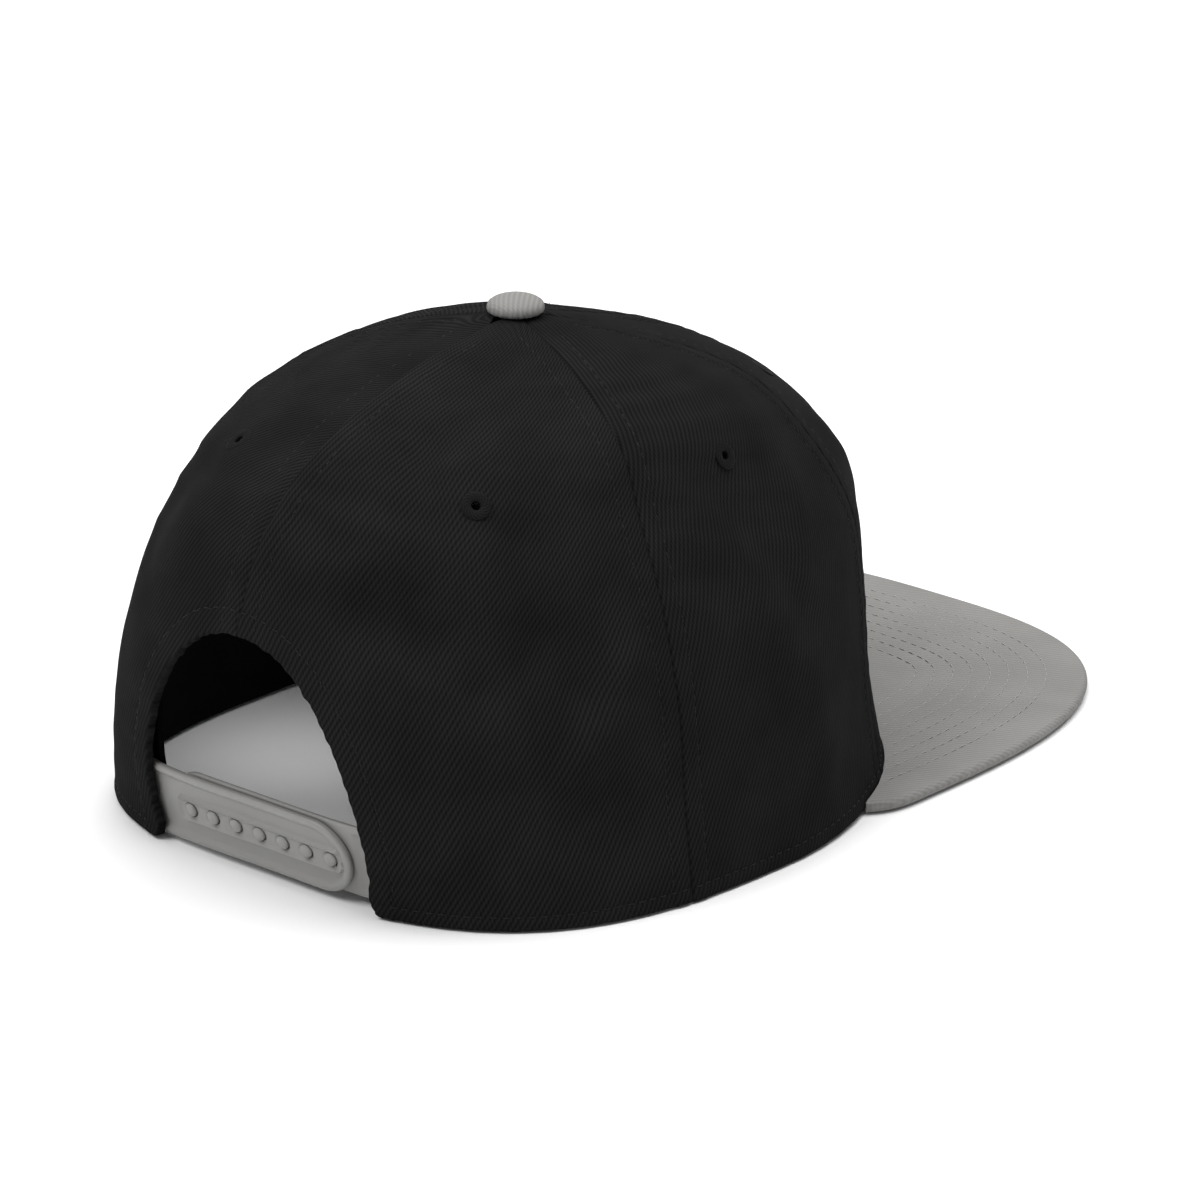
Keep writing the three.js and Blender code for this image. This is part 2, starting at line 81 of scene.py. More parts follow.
MM = 0.001
BODY = "root"
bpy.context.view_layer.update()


class Hand(Enum):
    """Side of the wearer's head, as the sign of the angle round the crown."""

    RIGHT = -1
    LEFT = 1


class Seam(Enum):
    """Seams between the panels, named by what they join."""

    FRONT_CENTRE = "front_centre"
    FRONT_SIDE = "front_side"
    SIDE_BACK = "side_back"
    BACK_CENTRE = "back_centre"


@dataclass(frozen=True)
class Panel:
    """One of the crown's panels, with its seams nearest the front and nearest the back."""

    word: str
    first: Seam
    last: Seam
    hand: Hand

    @property
    def node(self) -> str:
        """Construction node that it stands for."""
        return f"panel_{self.word}_{self.hand.name.lower()}"


# The right side's panels and then the left side's, each from front to back
PANELS = tuple(
    Panel(word, first, last, hand)
    for hand in Hand
    for word, first, last in (
        ("front", Seam.FRONT_CENTRE, Seam.FRONT_SIDE),
        ("side", Seam.FRONT_SIDE, Seam.SIDE_BACK),
        ("back", Seam.SIDE_BACK, Seam.BACK_CENTRE),
    )
)

# How often a span is halved in the search for a place in it
HALVINGS = 36

# How many waves an irregular swell adds up, and their shortest and longest share of its period
WAVE_COUNT = 6
WAVE_LENGTHS = (0.7, 1.5)

# Points round a stitch, and degrees past which an edge of thread or of plastic stays crisp
STITCH_SIDES = 6
STITCH_SHARP = 80.0
PLASTIC_SHARP = 65.0

# Least length in millimetres that anything is divided by
LEAST = 1e-3


# Numbers worked out as whole arrays


def smoothstep(value: Array, low: float, high: float) -> Array:
    """Ease from 0 at low to 1 at high.

    Args:
        value: where to read the curve.
        low: value at which it leaves 0.
        high: value at which it reaches 1.

    Returns:
        The share 3t^2 - 2t^3 of the clamped way t from low to high.
    """
    way = np.clip((value - low) / (high - low), 0.0, 1.0)
    return way * way * (3.0 - 2.0 * way)


def bell(value: Array, middle: float, spread: float) -> Array:
    """Bell curve, 1 at the middle: e to the minus squared distance over spread."""
    return np.exp(-(((value - middle) / spread) ** 2))


def signed_power(value: Array, exponent: float) -> Array:
    """Power of the size of a value that keeps its sign."""
    return np.sign(value) * np.abs(value) ** exponent


def through(table: Array, share: Array) -> Array:
    """Smooth curve through evenly spaced values, by the Catmull-Rom rule.

    Args:
        table: values from the first place to the last.
        share: where to read, from 0 at the first value to 1 at the last.

    Returns:
        The curve's values at those shares.
    """
    last = len(table) - 1
    place = np.clip(share, 0.0, 1.0) * last
    index = np.minimum(np.floor(place).astype(int), last - 1)
    ends = ([2 * table[0] - table[1]], table, [2 * table[-1] - table[-2]])
    padded = np.concatenate(ends)
    before, start, end, after = (padded[index + step] for step in range(4))
    way = place - index
    cubic = 3 * (start - end) + after - before
    square = 2 * before - 5 * start + 4 * end - after
    return start + 0.5 * way * (end - before + way * (square + way * cubic))


def solve(rising: Callable[[Array], Array], target: Array, low: float, high: float) -> Array:
    """Place where a rising function reaches a target, by halving the span.

    Args:
        rising: function of an array of places.
        target: values to reach.
        low: lowest place.
        high: highest place.

    Returns:
        One place for each target.
    """
    target = np.asarray(target, float)
    below = np.full(target.shape, float(low))
    above = np.full(target.shape, float(high))
    for _ in range(HALVINGS):
        middle = (below + above) / 2
        short = rising(middle) < target
        below = np.where(short, middle, below)
        above = np.where(short, above, middle)
    return (below + above) / 2


def unit(vectors: Array) -> Array:
    """Vectors of length 1 in the same directions."""
    size = np.linalg.norm(vectors, axis=-1, keepdims=True)
    return vectors / np.maximum(size, 1e-9)


def lines_through(stops: list[float], step: float) -> Array:
    """Grid lines that pass exactly through each stop, no further apart than a step.

    Args:
        stops: places in rising order.
        step: widest distance between two lines.

    Returns:
        Places of all the lines.
    """
    spans = []
    for low, high in zip(stops[:-1], stops[1:]):
        count = max(1, math.ceil((high - low) / step - 1e-6))
        spans.append(np.linspace(low, high, count, endpoint=False))
    return np.concatenate(spans + [np.array([stops[-1]])])


def waves(across: Array, along: Array, period: float, seed: int) -> Array:
    """Soft irregular swell: the mean of six sine waves in fixed pseudo-random directions.

    Args:
        across: first coordinate, in millimetres.
        along: second coordinate, in millimetres.
        period: middle distance between crests, in millimetres.
        seed: which swell.

    Returns:
        Heights of about -1 to 1.
    """
    draw = np.random.default_rng(seed)
    total = np.zeros(np.broadcast(across, along).shape)
    low = (0, WAVE_LENGTHS[0], 0)
    high = (math.pi, WAVE_LENGTHS[1], 2 * math.pi)
    for turn, stretch, phase in draw.uniform(low, high, (WAVE_COUNT, 3)):
        way = across * math.cos(turn) + along * math.sin(turn)
        total = total + np.sin(2 * math.pi * way / (period * stretch) + phase)
    return total / (WAVE_COUNT / 2)


def away_from(points: Array, line: Array) -> Array:
    """Distance from each point to the nearest of a line's straight pieces.

    Args:
        points: array of points, last axis x, y, z.
        line: points of the line in order.

    Returns:
        Distances, shaped as the points without their last axis.
    """
    flat = points.reshape(-1, points.shape[-1])
    best = np.full(len(flat), np.inf)
    start = line[:-1]
    span = line[1:] - start
    size = np.maximum((span ** 2).sum(-1), 1e-12)
    for part in np.array_split(np.arange(len(start)), max(1, len(start) // 40)):
        gap = flat[:, None, :] - start[part][None]
        way = np.clip((gap * span[part]).sum(-1) / size[part], 0, 1)
        foot = gap - way[..., None] * span[part]
        best = np.minimum(best, (foot ** 2).sum(-1).min(axis=1))
    return np.sqrt(best).reshape(points.shape[:-1])


# Meshes


@dataclass
class Cloud:
    """Vertices, faces and the cloth coordinates of one piece, in millimetres."""

    points: Array
    faces: Array
    cloth: Array

    def joined(self, other: "Cloud") -> "Cloud":
        """Both sets of faces in one, without welding them.

        Args:
            other: the surface to add.

        Returns:
            The joined surface.
        """
        faces = np.concatenate([self.faces, other.faces + len(self.points)])
        points = np.concatenate([self.points, other.points])
        return Cloud(points, faces, np.concatenate([self.cloth, other.cloth]))


def four_corners(number: Array) -> Array:
    """Four neighbouring numbers of a grid, in order round each of its cells."""
    corners = (number[:-1, :-1], number[:-1, 1:], number[1:, 1:], number[1:, :-1])
    return np.stack(corners, axis=-1)


def slanted(x: Array, y: Array, lean: float) -> Array:
    """Cloth coordinates in metres, turned by the lean of the twill's ribs in degrees.

    Args:
        x: lengths across the cloth in millimetres.
        y: lengths up the cloth.
        lean: how far the ribs lean.

    Returns:
        Grid of coordinate pairs: across the ribs, and along them.
    """
    turn = math.radians(lean)
    across = x * math.cos(turn) - y * math.sin(turn)
    along = x * math.sin(turn) + y * math.cos(turn)
    return np.stack([across, along], axis=-1) * MM


def grid_faces(rows: int, columns: int, keep: Array | None = None) -> Array:
    """Four-sided faces between the points of a grid, numbered row by row.

    Args:
        rows: rows of points.
        columns: points in a row.
        keep: which faces exist, rows - 1 by columns - 1, or all.

    Returns:
        Four point numbers for each face.
    """
    first = np.arange(rows * columns).reshape(rows, columns)
    faces = four_corners(first)
    return faces.reshape(-1, 4) if keep is None else faces[keep]


def shell(outer: Array, inner: Array, cloth: Array, keep: Array | None = None) -> Cloud:
    """Closed wall between two grids: both sides, and a strip along every open edge.

    Args:
        outer: grid of points on the outside, rows by columns by 3.
        inner: grid of points on the inside, of the same size.
        cloth: grid of cloth coordinates, rows by columns by 2.
        keep: which faces of the grid exist, rows - 1 by columns - 1, or all.

    Returns:
        The closed surface.
    """
    rows, columns = outer.shape[:2]
    if keep is None:
        keep = np.ones((rows - 1, columns - 1), bool)
    count = rows * columns
    number = np.arange(count).reshape(rows, columns)
    front = grid_faces(rows, columns, keep)
    padded = np.pad(keep, 1)
    over, under = padded[:-1, 1:-1], padded[1:, 1:-1]
    before, after = padded[1:-1, :-1], padded[1:-1, 1:]
    level = (number[:, :-1], number[:, 1:])
    upright = (number[:-1, :], number[1:, :])
    starts = (level[0][under & ~over], level[1][over & ~under],
              upright[1][after & ~before], upright[0][before & ~after])
    ends = (level[1][under & ~over], level[0][over & ~under],
            upright[0][after & ~before], upright[1][before & ~after])
    start, end = np.concatenate(starts), np.concatenate(ends)
    wall = np.stack([end, start, start + count, end + count], axis=-1)
    faces = np.concatenate([front, front[:, ::-1] + count, wall])
    points = np.concatenate([outer.reshape(-1, 3), inner.reshape(-1, 3)])
    coordinates = np.concatenate([cloth.reshape(-1, 2), cloth.reshape(-1, 2)])
    used, renumbered = np.unique(faces, return_inverse=True)
    return Cloud(points[used], renumbered.reshape(faces.shape), coordinates[used])


def ring_surface(points: Array, cloth: Array, closed_rows: bool) -> Cloud:
    """Surface whose columns run round and meet, and whose rows may meet as well.

    Args:
        points: grid of points, rows by columns by 3, without a repeated last column.
        cloth: grid of cloth coordinates, rows by columns by 2.
        closed_rows: whether the last row joins the first.

    Returns:
        The surface, open at its first and last row unless the rows meet.
    """
    rows, columns = points.shape[:2]
    number = np.arange(rows * columns).reshape(rows, columns)
    around = np.concatenate([number, number[:, :1]], axis=1)
    if closed_rows:
        around = np.concatenate([around, around[:1]], axis=0)
    faces = four_corners(around).reshape(-1, 4)
    return Cloud(points.reshape(-1, 3), faces, cloth.reshape(-1, 2))


def turned(profile: Array, sides: int, foot: Array, axis: Array) -> Cloud:
    """Body turned from a profile of radius and height, standing at a foot along an axis.

    Args:
        profile: rows of radius and height; both ends lie on the axis.
        sides: how many points run round.
        foot: where height 0 of the axis is.
        axis: direction of the axis.

    Returns:
        The surface, whose poles close when its doubles are merged.
    """
    axis = unit(np.asarray(axis, float))
    helper = np.array([0.0, 0.0, 1.0]) if abs(axis[2]) < 0.9 else np.array([1.0, 0.0, 0.0])
    side = unit(np.cross(helper, axis))
    other = np.cross(axis, side)
    turn = np.linspace(0, 2 * math.pi, sides, endpoint=False)
    spoke = np.cos(turn)[:, None] * side + np.sin(turn)[:, None] * other
    radius, height = profile[:, 0], profile[:, 1]
    points = foot + radius[:, None, None] * spoke + height[:, None, None] * axis
    flat = radius[:, None, None] * np.stack([np.cos(turn), np.sin(turn)], axis=-1) * MM
    return ring_surface(points, flat, closed_rows=False)


def stitches(line: Array, up: Array, pitch: float, length: float,
             radius: float, sink: float) -> Cloud:
    """Row of thread stitches along a line: short rounded bars whose ends dip into the cloth.

    Each bar is a tube of six sides. Its radius follows a half ellipse along the bar, and its
    middle stands higher than its ends by the sink.

    Args:
        line: points on the cloth in order.
        up: direction out of the cloth at each point.
        pitch: distance from one stitch to the next.
        length: length of one stitch.
        radius: radius of the thread.
        sink: how much lower the ends lie than the middle.

    Returns:
        All the stitches of the row.
    """
    steps = np.linalg.norm(np.diff(line, axis=0), axis=1)
    way = np.concatenate([[0.0], np.cumsum(steps)])
    count = max(1, int(way[-1] // pitch))
    middle = (np.arange(count) + 0.5) * way[-1] / count
    shares = np.array([-1.0, -0.8, -0.35, 0.35, 0.8, 1.0])
    place = np.clip(middle[:, None] + shares * length / 2, 0, way[-1])
    centre = np.stack([np.interp(place, way, line[:, k]) for k in range(3)], axis=-1)
    normal = unit(np.stack([np.interp(place, way, up[:, k]) for k in range(3)], axis=-1))
    tangent = unit(np.gradient(centre, axis=1))
    across = unit(np.cross(tangent, normal))
    centre = centre - normal * (sink * shares ** 2)[None, :, None]
    thick = radius * np.sqrt(np.clip(1.02 - shares ** 2, 0.02, 1.0))
    turn = np.linspace(0, 2 * math.pi, STITCH_SIDES, endpoint=False)
    spoke = (across[:, :, None] * np.cos(turn)[:, None]
             + normal[:, :, None] * np.sin(turn)[:, None])
    points = centre[:, :, None] + spoke * thick[None, :, None, None]
    cloth = np.empty(points.shape[:-1] + (2,))
    cloth[..., 0] = place[:, :, None] * MM
    cloth[..., 1] = turn * radius * MM
    rows = len(shares)
    number = np.arange(rows * STITCH_SIDES).reshape(rows, STITCH_SIDES)
    around = np.concatenate([number, number[:, :1]], axis=1)
    tube = four_corners(around).reshape(-1, 4)
    caps = np.array([[0, 1, 2, 3], [0, 3, 4, 5]])
    far = caps[:, ::-1] + (rows - 1) * STITCH_SIDES
    one = np.concatenate([tube[:, ::-1], caps, far])
    first = np.arange(count) * rows * STITCH_SIDES
    faces = (one[None] + first[:, None, None]).reshape(-1, 4)
    return Cloud(points.reshape(-1, 3), faces, cloth.reshape(-1, 2))


@dataclass(frozen=True)
class Place:
    """Turns millimetres from the middle of the crown into metres in the shared frame."""

    middle_y: float

    def mesh(self, name: str, cloud: Cloud, sharp_degrees: float = 50.0) -> bpy.types.Object:
        """Make a closed piece at the origin, with its faces outward and its place in its mesh.

        Args:
            name: the piece's name.
            cloud: its surface.
            sharp_degrees: edges that turn more than this stay crisp.

        Returns:
            The linked object, which rides on the cap's body.
        """
        points = cloud.points * MM + np.array([0.0, self.middle_y, 0.0])
        mesh = bpy.data.meshes.new(name)
        mesh.from_pydata(points, [], cloud.faces.tolist())
        layer = mesh.uv_layers.new(name="cloth")
        corner = np.empty(len(mesh.loops), np.int32)
        mesh.loops.foreach_get("vertex_index", corner)
        layer.data.foreach_set("uv", cloud.cloth[corner].astype(np.float32).ravel())
        edit = bmesh.new()
        edit.from_mesh(mesh)
        bmesh.ops.remove_doubles(edit, verts=edit.verts, dist=2e-6)
        bmesh.ops.dissolve_degenerate(edit, edges=edit.edges, dist=1e-7)
        bmesh.ops.recalc_face_normals(edit, faces=edit.faces)
        edit.to_mesh(mesh)
        edit.free()
        mesh.shade_smooth()
        mesh.set_sharp_from_angle(angle=math.radians(sharp_degrees))
        piece = bpy.data.objects.new(name, mesh)
        bpy.context.scene.collection.objects.link(piece)
        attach(piece, BODY)
        LOG.info("%s: %d faces", name, len(mesh.polygons))
        return piece


def dress(piece: bpy.types.Object, material: bpy.types.Material, slot: str,
          *nodes: str) -> bpy.types.Object:
    """Give a piece its material, and let it stand for construction nodes.

    Args:
        piece: the finished piece.
        material: its finish.
        slot: the record's name for that finish; not used.
        nodes: construction nodes that it takes the place of.

    Returns:
        The piece.
    """
    piece.data.materials.clear()
    piece.data.materials.append(material)
    if nodes:
        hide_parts(*nodes)
    return piece


# Crown


@dataclass(frozen=True)
class CrownForm:
    """The crown's soft surface: an upright meridian with level sections between them.

    A level section is a superellipse, whose radius at an angle is
    (|sin / width|^n + |cos / reach|^n)^(-1/n), with its own reach in front and at the back. The
    meridian's heights, widths and reaches are smooth curves through a short table.
    """

    half_width: float
    height: float = 120.3
    front_reach: float = 93.7
    back_reach: float = 92.0
    lean: float = 1.5
    rim_lift: float = 3.0
    rim_lift_power: float = 1.5
    square_front: float = 1.94
    square_back: float = 2.91
    square_top: float = 1.88
    front_seam_at_rim: float = 54.0
    front_seam_at_top: float = 34.0
    back_seam: float = 111.5
    back_seam_bow: float = 3.8
    back_seam_bow_from: float = 0.42
    wall: float = 2.0
    # Shares of the rise over which the edge turns level, and over which dents fade in
    level_share: float = 0.06
    fade_share: float = 0.1
    fold_points: int = 7
    # Shares of the height and of the reaches, one row for each level section:
    # height, front, side, back
    sections: tuple[tuple[float, ...], ...] = (
        (0.0, 1.0, 1.0, 1.0),
        (0.196, 0.962, 0.958, 1.058),
        (0.392, 0.971, 0.924, 1.068),
        (0.568, 0.993, 0.847, 1.041),
        (0.725, 0.859, 0.719, 1.007),
        (0.853, 0.59, 0.607, 0.841),
        (0.941, 0.273, 0.346, 0.491),
        (1.0, 0.0, 0.0, 0.0),
    )
    # Soft dents (minus) and swells: angle, rise, spread in angle, spread in rise, depth
    dents: tuple[tuple[float, ...], ...] = (
        (-154.0, 0.43, 9.0, 0.09, -1.6),
        (-144.0, 0.53, 5.0, 0.12, 1.2),
        (-132.0, 0.16, 11.0, 0.07, -1.8),
        (-121.0, 0.27, 8.0, 0.07, 1.2),
        (-84.0, 0.54, 10.0, 0.08, -1.4),
        (-79.0, 0.15, 6.0, 0.12, 1.0),
        (84.0, 0.5, 11.0, 0.09, -1.2),
        (137.0, 0.3, 12.0, 0.09, -0.5),
    )
    # Soft folds: angle and rise of one end, angle and rise of the other, width and height
    folds: tuple[tuple[float, ...], ...] = (
        (-156.5, 0.75, -146.0, 0.46, 6.0, -2.0),
        (-148.5, 0.71, -140.0, 0.42, 6.5, 2.3),
        (-133.0, 0.41, -126.0, 0.33, 8.0, -2.5),
        (-120.0, 0.36, -130.0, 0.21, 6.0, 2.1),
        (-158.0, 0.5, -143.0, 0.36, 5.5, -2.2),
        (-156.0, 0.4, -148.0, 0.33, 6.0, 0.8),
        (-88.5, 0.59, -76.0, 0.33, 6.0, -0.8),
        (-91.0, 0.53, -76.0, 0.13, 7.0, 0.6),
        (-62.0, 0.54, -74.0, 0.4, 5.0, 0.9),
        (160.5, 0.64, 150.5, 0.45, 8.0, -1.1),
        (-30.0, 0.5, -20.0, 0.28, 8.0, 0.7),
        (26.0, 0.52, 36.0, 0.28, 8.0, -0.7),
        (96.0, 0.58, 80.0, 0.26, 7.0, 1.1),
    )

    def section(self, column: int, rise: Array) -> Array:
        """One column of the section table, read at a rise."""
        return through(np.array([row[column] for row in self.sections]), rise)

    def plain(self, angle: Array, rise: Array, swell: float = 0.0) -> Array:
        """Points of the outside without dents.

        Args:
            angle: degrees from the front, minus on the wearer's right.
            rise: share of the way up the meridian, 0 at the rim.
            swell: how much further out.

        Returns:
            Points in millimetres.
        """
        angle, rise = np.broadcast_arrays(np.asarray(angle, float), np.asarray(rise, float))
        sine, cosine = np.sin(np.radians(angle)), np.cos(np.radians(angle))
        level = self.section(0, rise)
        width = np.maximum(self.section(2, rise) * self.half_width, LEAST)
        front = self.section(1, rise) * self.front_reach
        back = self.section(3, rise) * self.back_reach
        reach = np.maximum(np.where(cosine > 0, front, back), LEAST)
        rim_square = np.where(cosine > 0, self.square_front, self.square_back)
        square = rim_square * (1 - level) + self.square_top * level
        total = (np.abs(sine) / width) ** square + (np.abs(cosine) / reach) ** square
        radius = total ** (-1 / square) + swell
        lift = self.rim_lift * np.maximum(cosine, 0) ** self.rim_lift_power
        z = lift * (1 - level) + self.height * level
        return np.stack([radius * sine, self.lean * level - radius * cosine, z], axis=-1)

    def normal(self, angle: Array, rise: Array) -> Array:
        """Directions out of the surface, from the cross product of its two slopes.

        Args:
            angle: degrees from the front.
            rise: share of the way up.

        Returns:
            Vectors of length 1.
        """
        step, turn = 0.004, 0.5
        low = self.plain(angle, np.maximum(rise - step, 0))
        high = self.plain(angle, np.minimum(rise + step, 1 - step))
        before = self.plain(np.asarray(angle) - turn, np.minimum(rise, 1 - step))
        after = self.plain(np.asarray(angle) + turn, np.minimum(rise, 1 - step))
        return unit(np.cross(after - before, high - low))

    def point(self, angle: Array, rise: Array, height: Array | float = 0.0) -> Array:
        """Points of the dented outside, raised along its normals; the rim's edge stays level.

        Args:
            angle: degrees from the front.
            rise: share of the way up.
            height: how far outside the surface, minus for inside.

        Returns:
            Points in millimetres.
        """
        angle, rise = np.broadcast_arrays(np.asarray(angle, float), np.asarray(rise, float))
        normal = self.normal(angle, rise).copy()
        normal[..., 2] *= smoothstep(rise, 0, self.level_share)
        plain = self.plain(angle, rise)
        soft = np.zeros(angle.shape)
        for at_angle, at_rise, wide, tall, depth in self.dents:
            soft += depth * bell(angle, at_angle, wide) * bell(rise, at_rise, tall)
        for from_angle, from_rise, to_angle, to_rise, wide, depth in self.folds:
            crease = self.plain(np.linspace(from_angle, to_angle, self.fold_points),
                                np.linspace(from_rise, to_rise, self.fold_points))
            soft += depth * bell(away_from(plain, crease), 0.0, wide)
        soft = soft * smoothstep(rise, 0, self.fade_share) + height
        return plain + normal * soft[..., None]

    def per_degree(self, angle: Array, rise: Array) -> Array:
        """Millimetres along the surface for a degree of angle.

        Args:
            angle: degrees from the front.
            rise: share of the way up.

        Returns:
            Lengths.
        """
        half = 0.5
        gap = (self.plain(np.asarray(angle) + half, rise)
               - self.plain(np.asarray(angle) - half, rise))
        return np.maximum(np.linalg.norm(gap, axis=-1), LEAST)

    def seam(self, seam: Seam, rise: Array, hand: Hand) -> Array:
        """Size of a seam's angle from the front, as measured round one side.

        The back centre seam bows toward the wearer's right over the arch, as half a sine wave.

        Args:
            seam: which seam.
            rise: share of the way up.
            hand: the side that the angle is measured round.

        Returns:
            Degrees for each rise.
        """
        rise = np.asarray(rise, float)
        if seam is Seam.FRONT_SIDE:
            return self.front_seam_at_rim * (1 - rise) + self.front_seam_at_top * rise
        if seam is Seam.BACK_CENTRE:
            above = np.maximum(rise - self.back_seam_bow_from, 0) / (1 - self.back_seam_bow_from)
            return 180.0 + hand.value * self.back_seam_bow * np.sin(math.pi * above)
        return np.full(rise.shape, 0.0 if seam is Seam.FRONT_CENTRE else self.back_seam)

    def rise_at_height(self, height: Array) -> Array:
        """Rise at which the back of the crown has a height.

        Args:
            height: millimetres over the rim.

        Returns:
            Shares of the way up.
        """
        def height_at(rise: Array) -> Array:
            """Height of the back."""
            return self.plain(180.0, rise)[..., 2]
        return solve(height_at, height, 0.0, 0.9)

    def angle_at_x(self, x: Array, rise: Array) -> Array:
        """Angle at the back where the crown has an X at a rise, on either side.

        Args:
            x: millimetres toward the wearer's left.
            rise: share of the way up.

        Returns:
            Degrees from the front.
        """
        def inward(turn: Array) -> Array:
            """Minus X on the left side."""
            return -self.plain(turn, rise)[..., 0]
        size = solve(inward, -np.abs(x), 100.0, 180.0)
        return np.where(np.asarray(x) < 0, -size, size)


class ClothMap:
    """Lengths along the crown's cloth, read from a table of running sums.

    The level length is the running sum of the distances between neighbouring points at one rise,
    and the upright length is the sum up one meridian from the rim.
    """

    def __init__(self, form: CrownForm) -> None:
        """Fill the two tables, a column for each degree and a little past the back.

        Args:
            form: the crown.
        """
        reach, rows = 185, 161
        self.angles = np.linspace(-reach, reach, 2 * reach + 1)
        self.rises = np.linspace(0.0, 1.0, rows)
        points = form.plain(self.angles[None, :], self.rises[:, None])
        level = np.linalg.norm(np.diff(points, axis=1), axis=-1)
        upright = np.linalg.norm(np.diff(points, axis=0), axis=-1)
        self.level = np.pad(np.cumsum(level, axis=1), ((0, 0), (1, 0)))
        self.upright = np.pad(np.cumsum(upright, axis=0), ((1, 0), (0, 0)))

    def read(self, table: Array, angle: Array, rise: Array) -> Array:
        """Value of a table at an angle and a rise, straight between its four neighbours.

        Args:
            table: one of the two tables.
            angle: degrees from the front.
            rise: share of the way up.

        Returns:
            Lengths in millimetres.
        """
        # The last place stays a thousandth inside the last cell
        past = 1.001
        across = np.clip((angle - self.angles[0]), 0, len(self.angles) - past)
        up = np.clip(rise, 0, 1) * (len(self.rises) - past)
        column, row = across.astype(int), up.astype(int)
        x, y = across - column, up - row
        low = table[row, column] * (1 - x) + table[row, column + 1] * x
        high = table[row + 1, column] * (1 - x) + table[row + 1, column + 1] * x
        return low * (1 - y) + high * y

    def between(self, first: Array, last: Array, rise: Array) -> Array:
        """Level length from one angle to another at a rise."""
        return self.read(self.level, last, rise) - self.read(self.level, first, rise)

    def above_rim(self, angle: Array, rise: Array) -> Array:
        """Upright length from the rim."""
        return self.read(self.upright, angle, rise)


@dataclass(frozen=True)
class ArchForm:
    """Opening in the back panels, as its half width at each height."""

    half_width: float = 37.2
    foot_half_width: float = 34.6
    height: float = 63.0
    squareness: float = 2.1
    foot_rise: float = 28.0
    corner: float = 5.0
    uneven: float = 0.16
    uneven_period: float = 4.6
    uneven_seed: int = 11
    corner_points: int = 8
    curve_points: int = 160
    edge_points: int = 200
    mean_reach: int = 4
    upper_from: float = 8.0
    uneven_top_from: float = 20.0
    uneven_side_from: float = 12.0

    def outline(self) -> Array:
        """Half outline from the middle of the foot's rounded corner up to the top.

        Returns:
            Rows of half width and height: the upper half of the corner's arc, then the
            superellipse less what the foot pulls in, evened out by a running mean. A faint
            irregular swell is the folded edge of real cloth.
        """
        turn = np.radians(np.linspace(45, 90, self.corner_points))
        arc = np.stack([self.foot_half_width + self.corner * (1 - np.sin(turn)),
                        self.corner * (1 - np.cos(turn))], axis=-1)
        turn = np.radians(np.linspace(0, 90, self.curve_points))
        z = self.height * np.sin(turn) ** (2 / self.squareness)
        wide = self.half_width * np.cos(turn) ** (2 / self.squareness)
        pull = np.clip(1 - z / self.foot_rise, 0, 1) ** 2
        wide = wide - pull * (self.half_width - self.foot_half_width)
        upper = np.stack([wide, z], axis=-1)[z > self.upper_from]
        upper[-1, 0] = 0.0
        line = np.concatenate([arc, upper])
        way = np.concatenate([[0], np.cumsum(np.linalg.norm(np.diff(line, axis=0), axis=1))])
        even = np.linspace(0, way[-1], self.edge_points)
        smooth = np.stack([np.interp(even, way, line[:, k]) for k in range(2)], axis=-1)
        reach = self.mean_reach
        inside = np.pad(smooth, ((reach, reach), (0, 0)), mode="edge")
        mean = np.mean([inside[k:k + self.edge_points] for k in range(2 * reach + 1)], axis=0)
        ends = reach + 1
        mean[:ends], mean[-ends:] = smooth[:ends], smooth[-ends:]
        swell = self.uneven * waves(even, 0 * even, self.uneven_period, self.uneven_seed)
        mean[:, 0] += swell * smoothstep(mean[:, 0], 0, self.uneven_side_from)
        mean[:, 1] += swell * smoothstep(mean[:, 1], self.uneven_top_from, self.height)
        return mean


@dataclass(frozen=True)
class Sewing:
    """Where the cap's sewing lies and how it pulls the cloth, in millimetres."""

    seam_row: float = 5.2
    hem_row: float = 3.6
    arch_row: float = 6.2
    pitch: float = 3.0
    stitch: float = 2.3
    thread: float = 0.17
    sink: float = 0.26
    groove: float = 0.32
    groove_spread: float = 0.6
    allowance: float = 0.36
    seam_roll: float = 0.5
    seam_roll_spread: float = 0.42
    edge_round: float = 0.85
    fold_before: float = 0.5
    fold_after: float = 1.6
    hem_allowance: float = 0.22
    arch_allowance: float = 0.3
    pucker: float = 0.09
    pucker_period: float = 7.0
    pucker_reach: float = 3.2
    pucker_drift: float = 1.7
    pucker_drift_period: float = 31.0
    hem_pucker_period: float = 8.5
    arch_pucker_period: float = 6.2
    arch_pucker_at: float = 6.4
    edge_pucker_share: float = 0.7
    edge_pucker_reach: float = 4.0
    swell: float = 0.22
    swell_period: float = 34.0
    ripple: float = 0.07
    ripple_period: float = 13.0
    # Widths of a panel over which its stitch rows and its rolled seams come in
    row_width: tuple[float, float] = (14.0, 30.0)
    roll_width: tuple[float, float] = (3.0, 14.0)
    # Where the swell comes in beside a seam, and how far up from the rim
    swell_beside_seam: tuple[float, float] = (0.5, 9.0)
    swell_over_rim: float = 12.0

    def row(self, away: Array, at: float, raised: float) -> Array:
        """Relief beside an edge: cloth doubled as far as the stitch row, and the row's groove."""
        doubled = raised * (1 - smoothstep(away, at - self.fold_before, at + self.fold_after))
        return doubled - self.groove * bell(away, at, self.groove_spread)

    def rounding(self, away: Array) -> Array:
        """Drop of a rounded edge: a quarter circle within the rounding's radius."""
        way = np.clip(1 - away / self.edge_round, 0, 1)
        return -self.edge_round * (1 - np.sqrt(np.clip(1 - way ** 2, 0, 1)))


@dataclass(frozen=True)
class Vent:
    """One vent hole: its node, and its place on the crown."""

    node: str
    angle: float
    rise: float


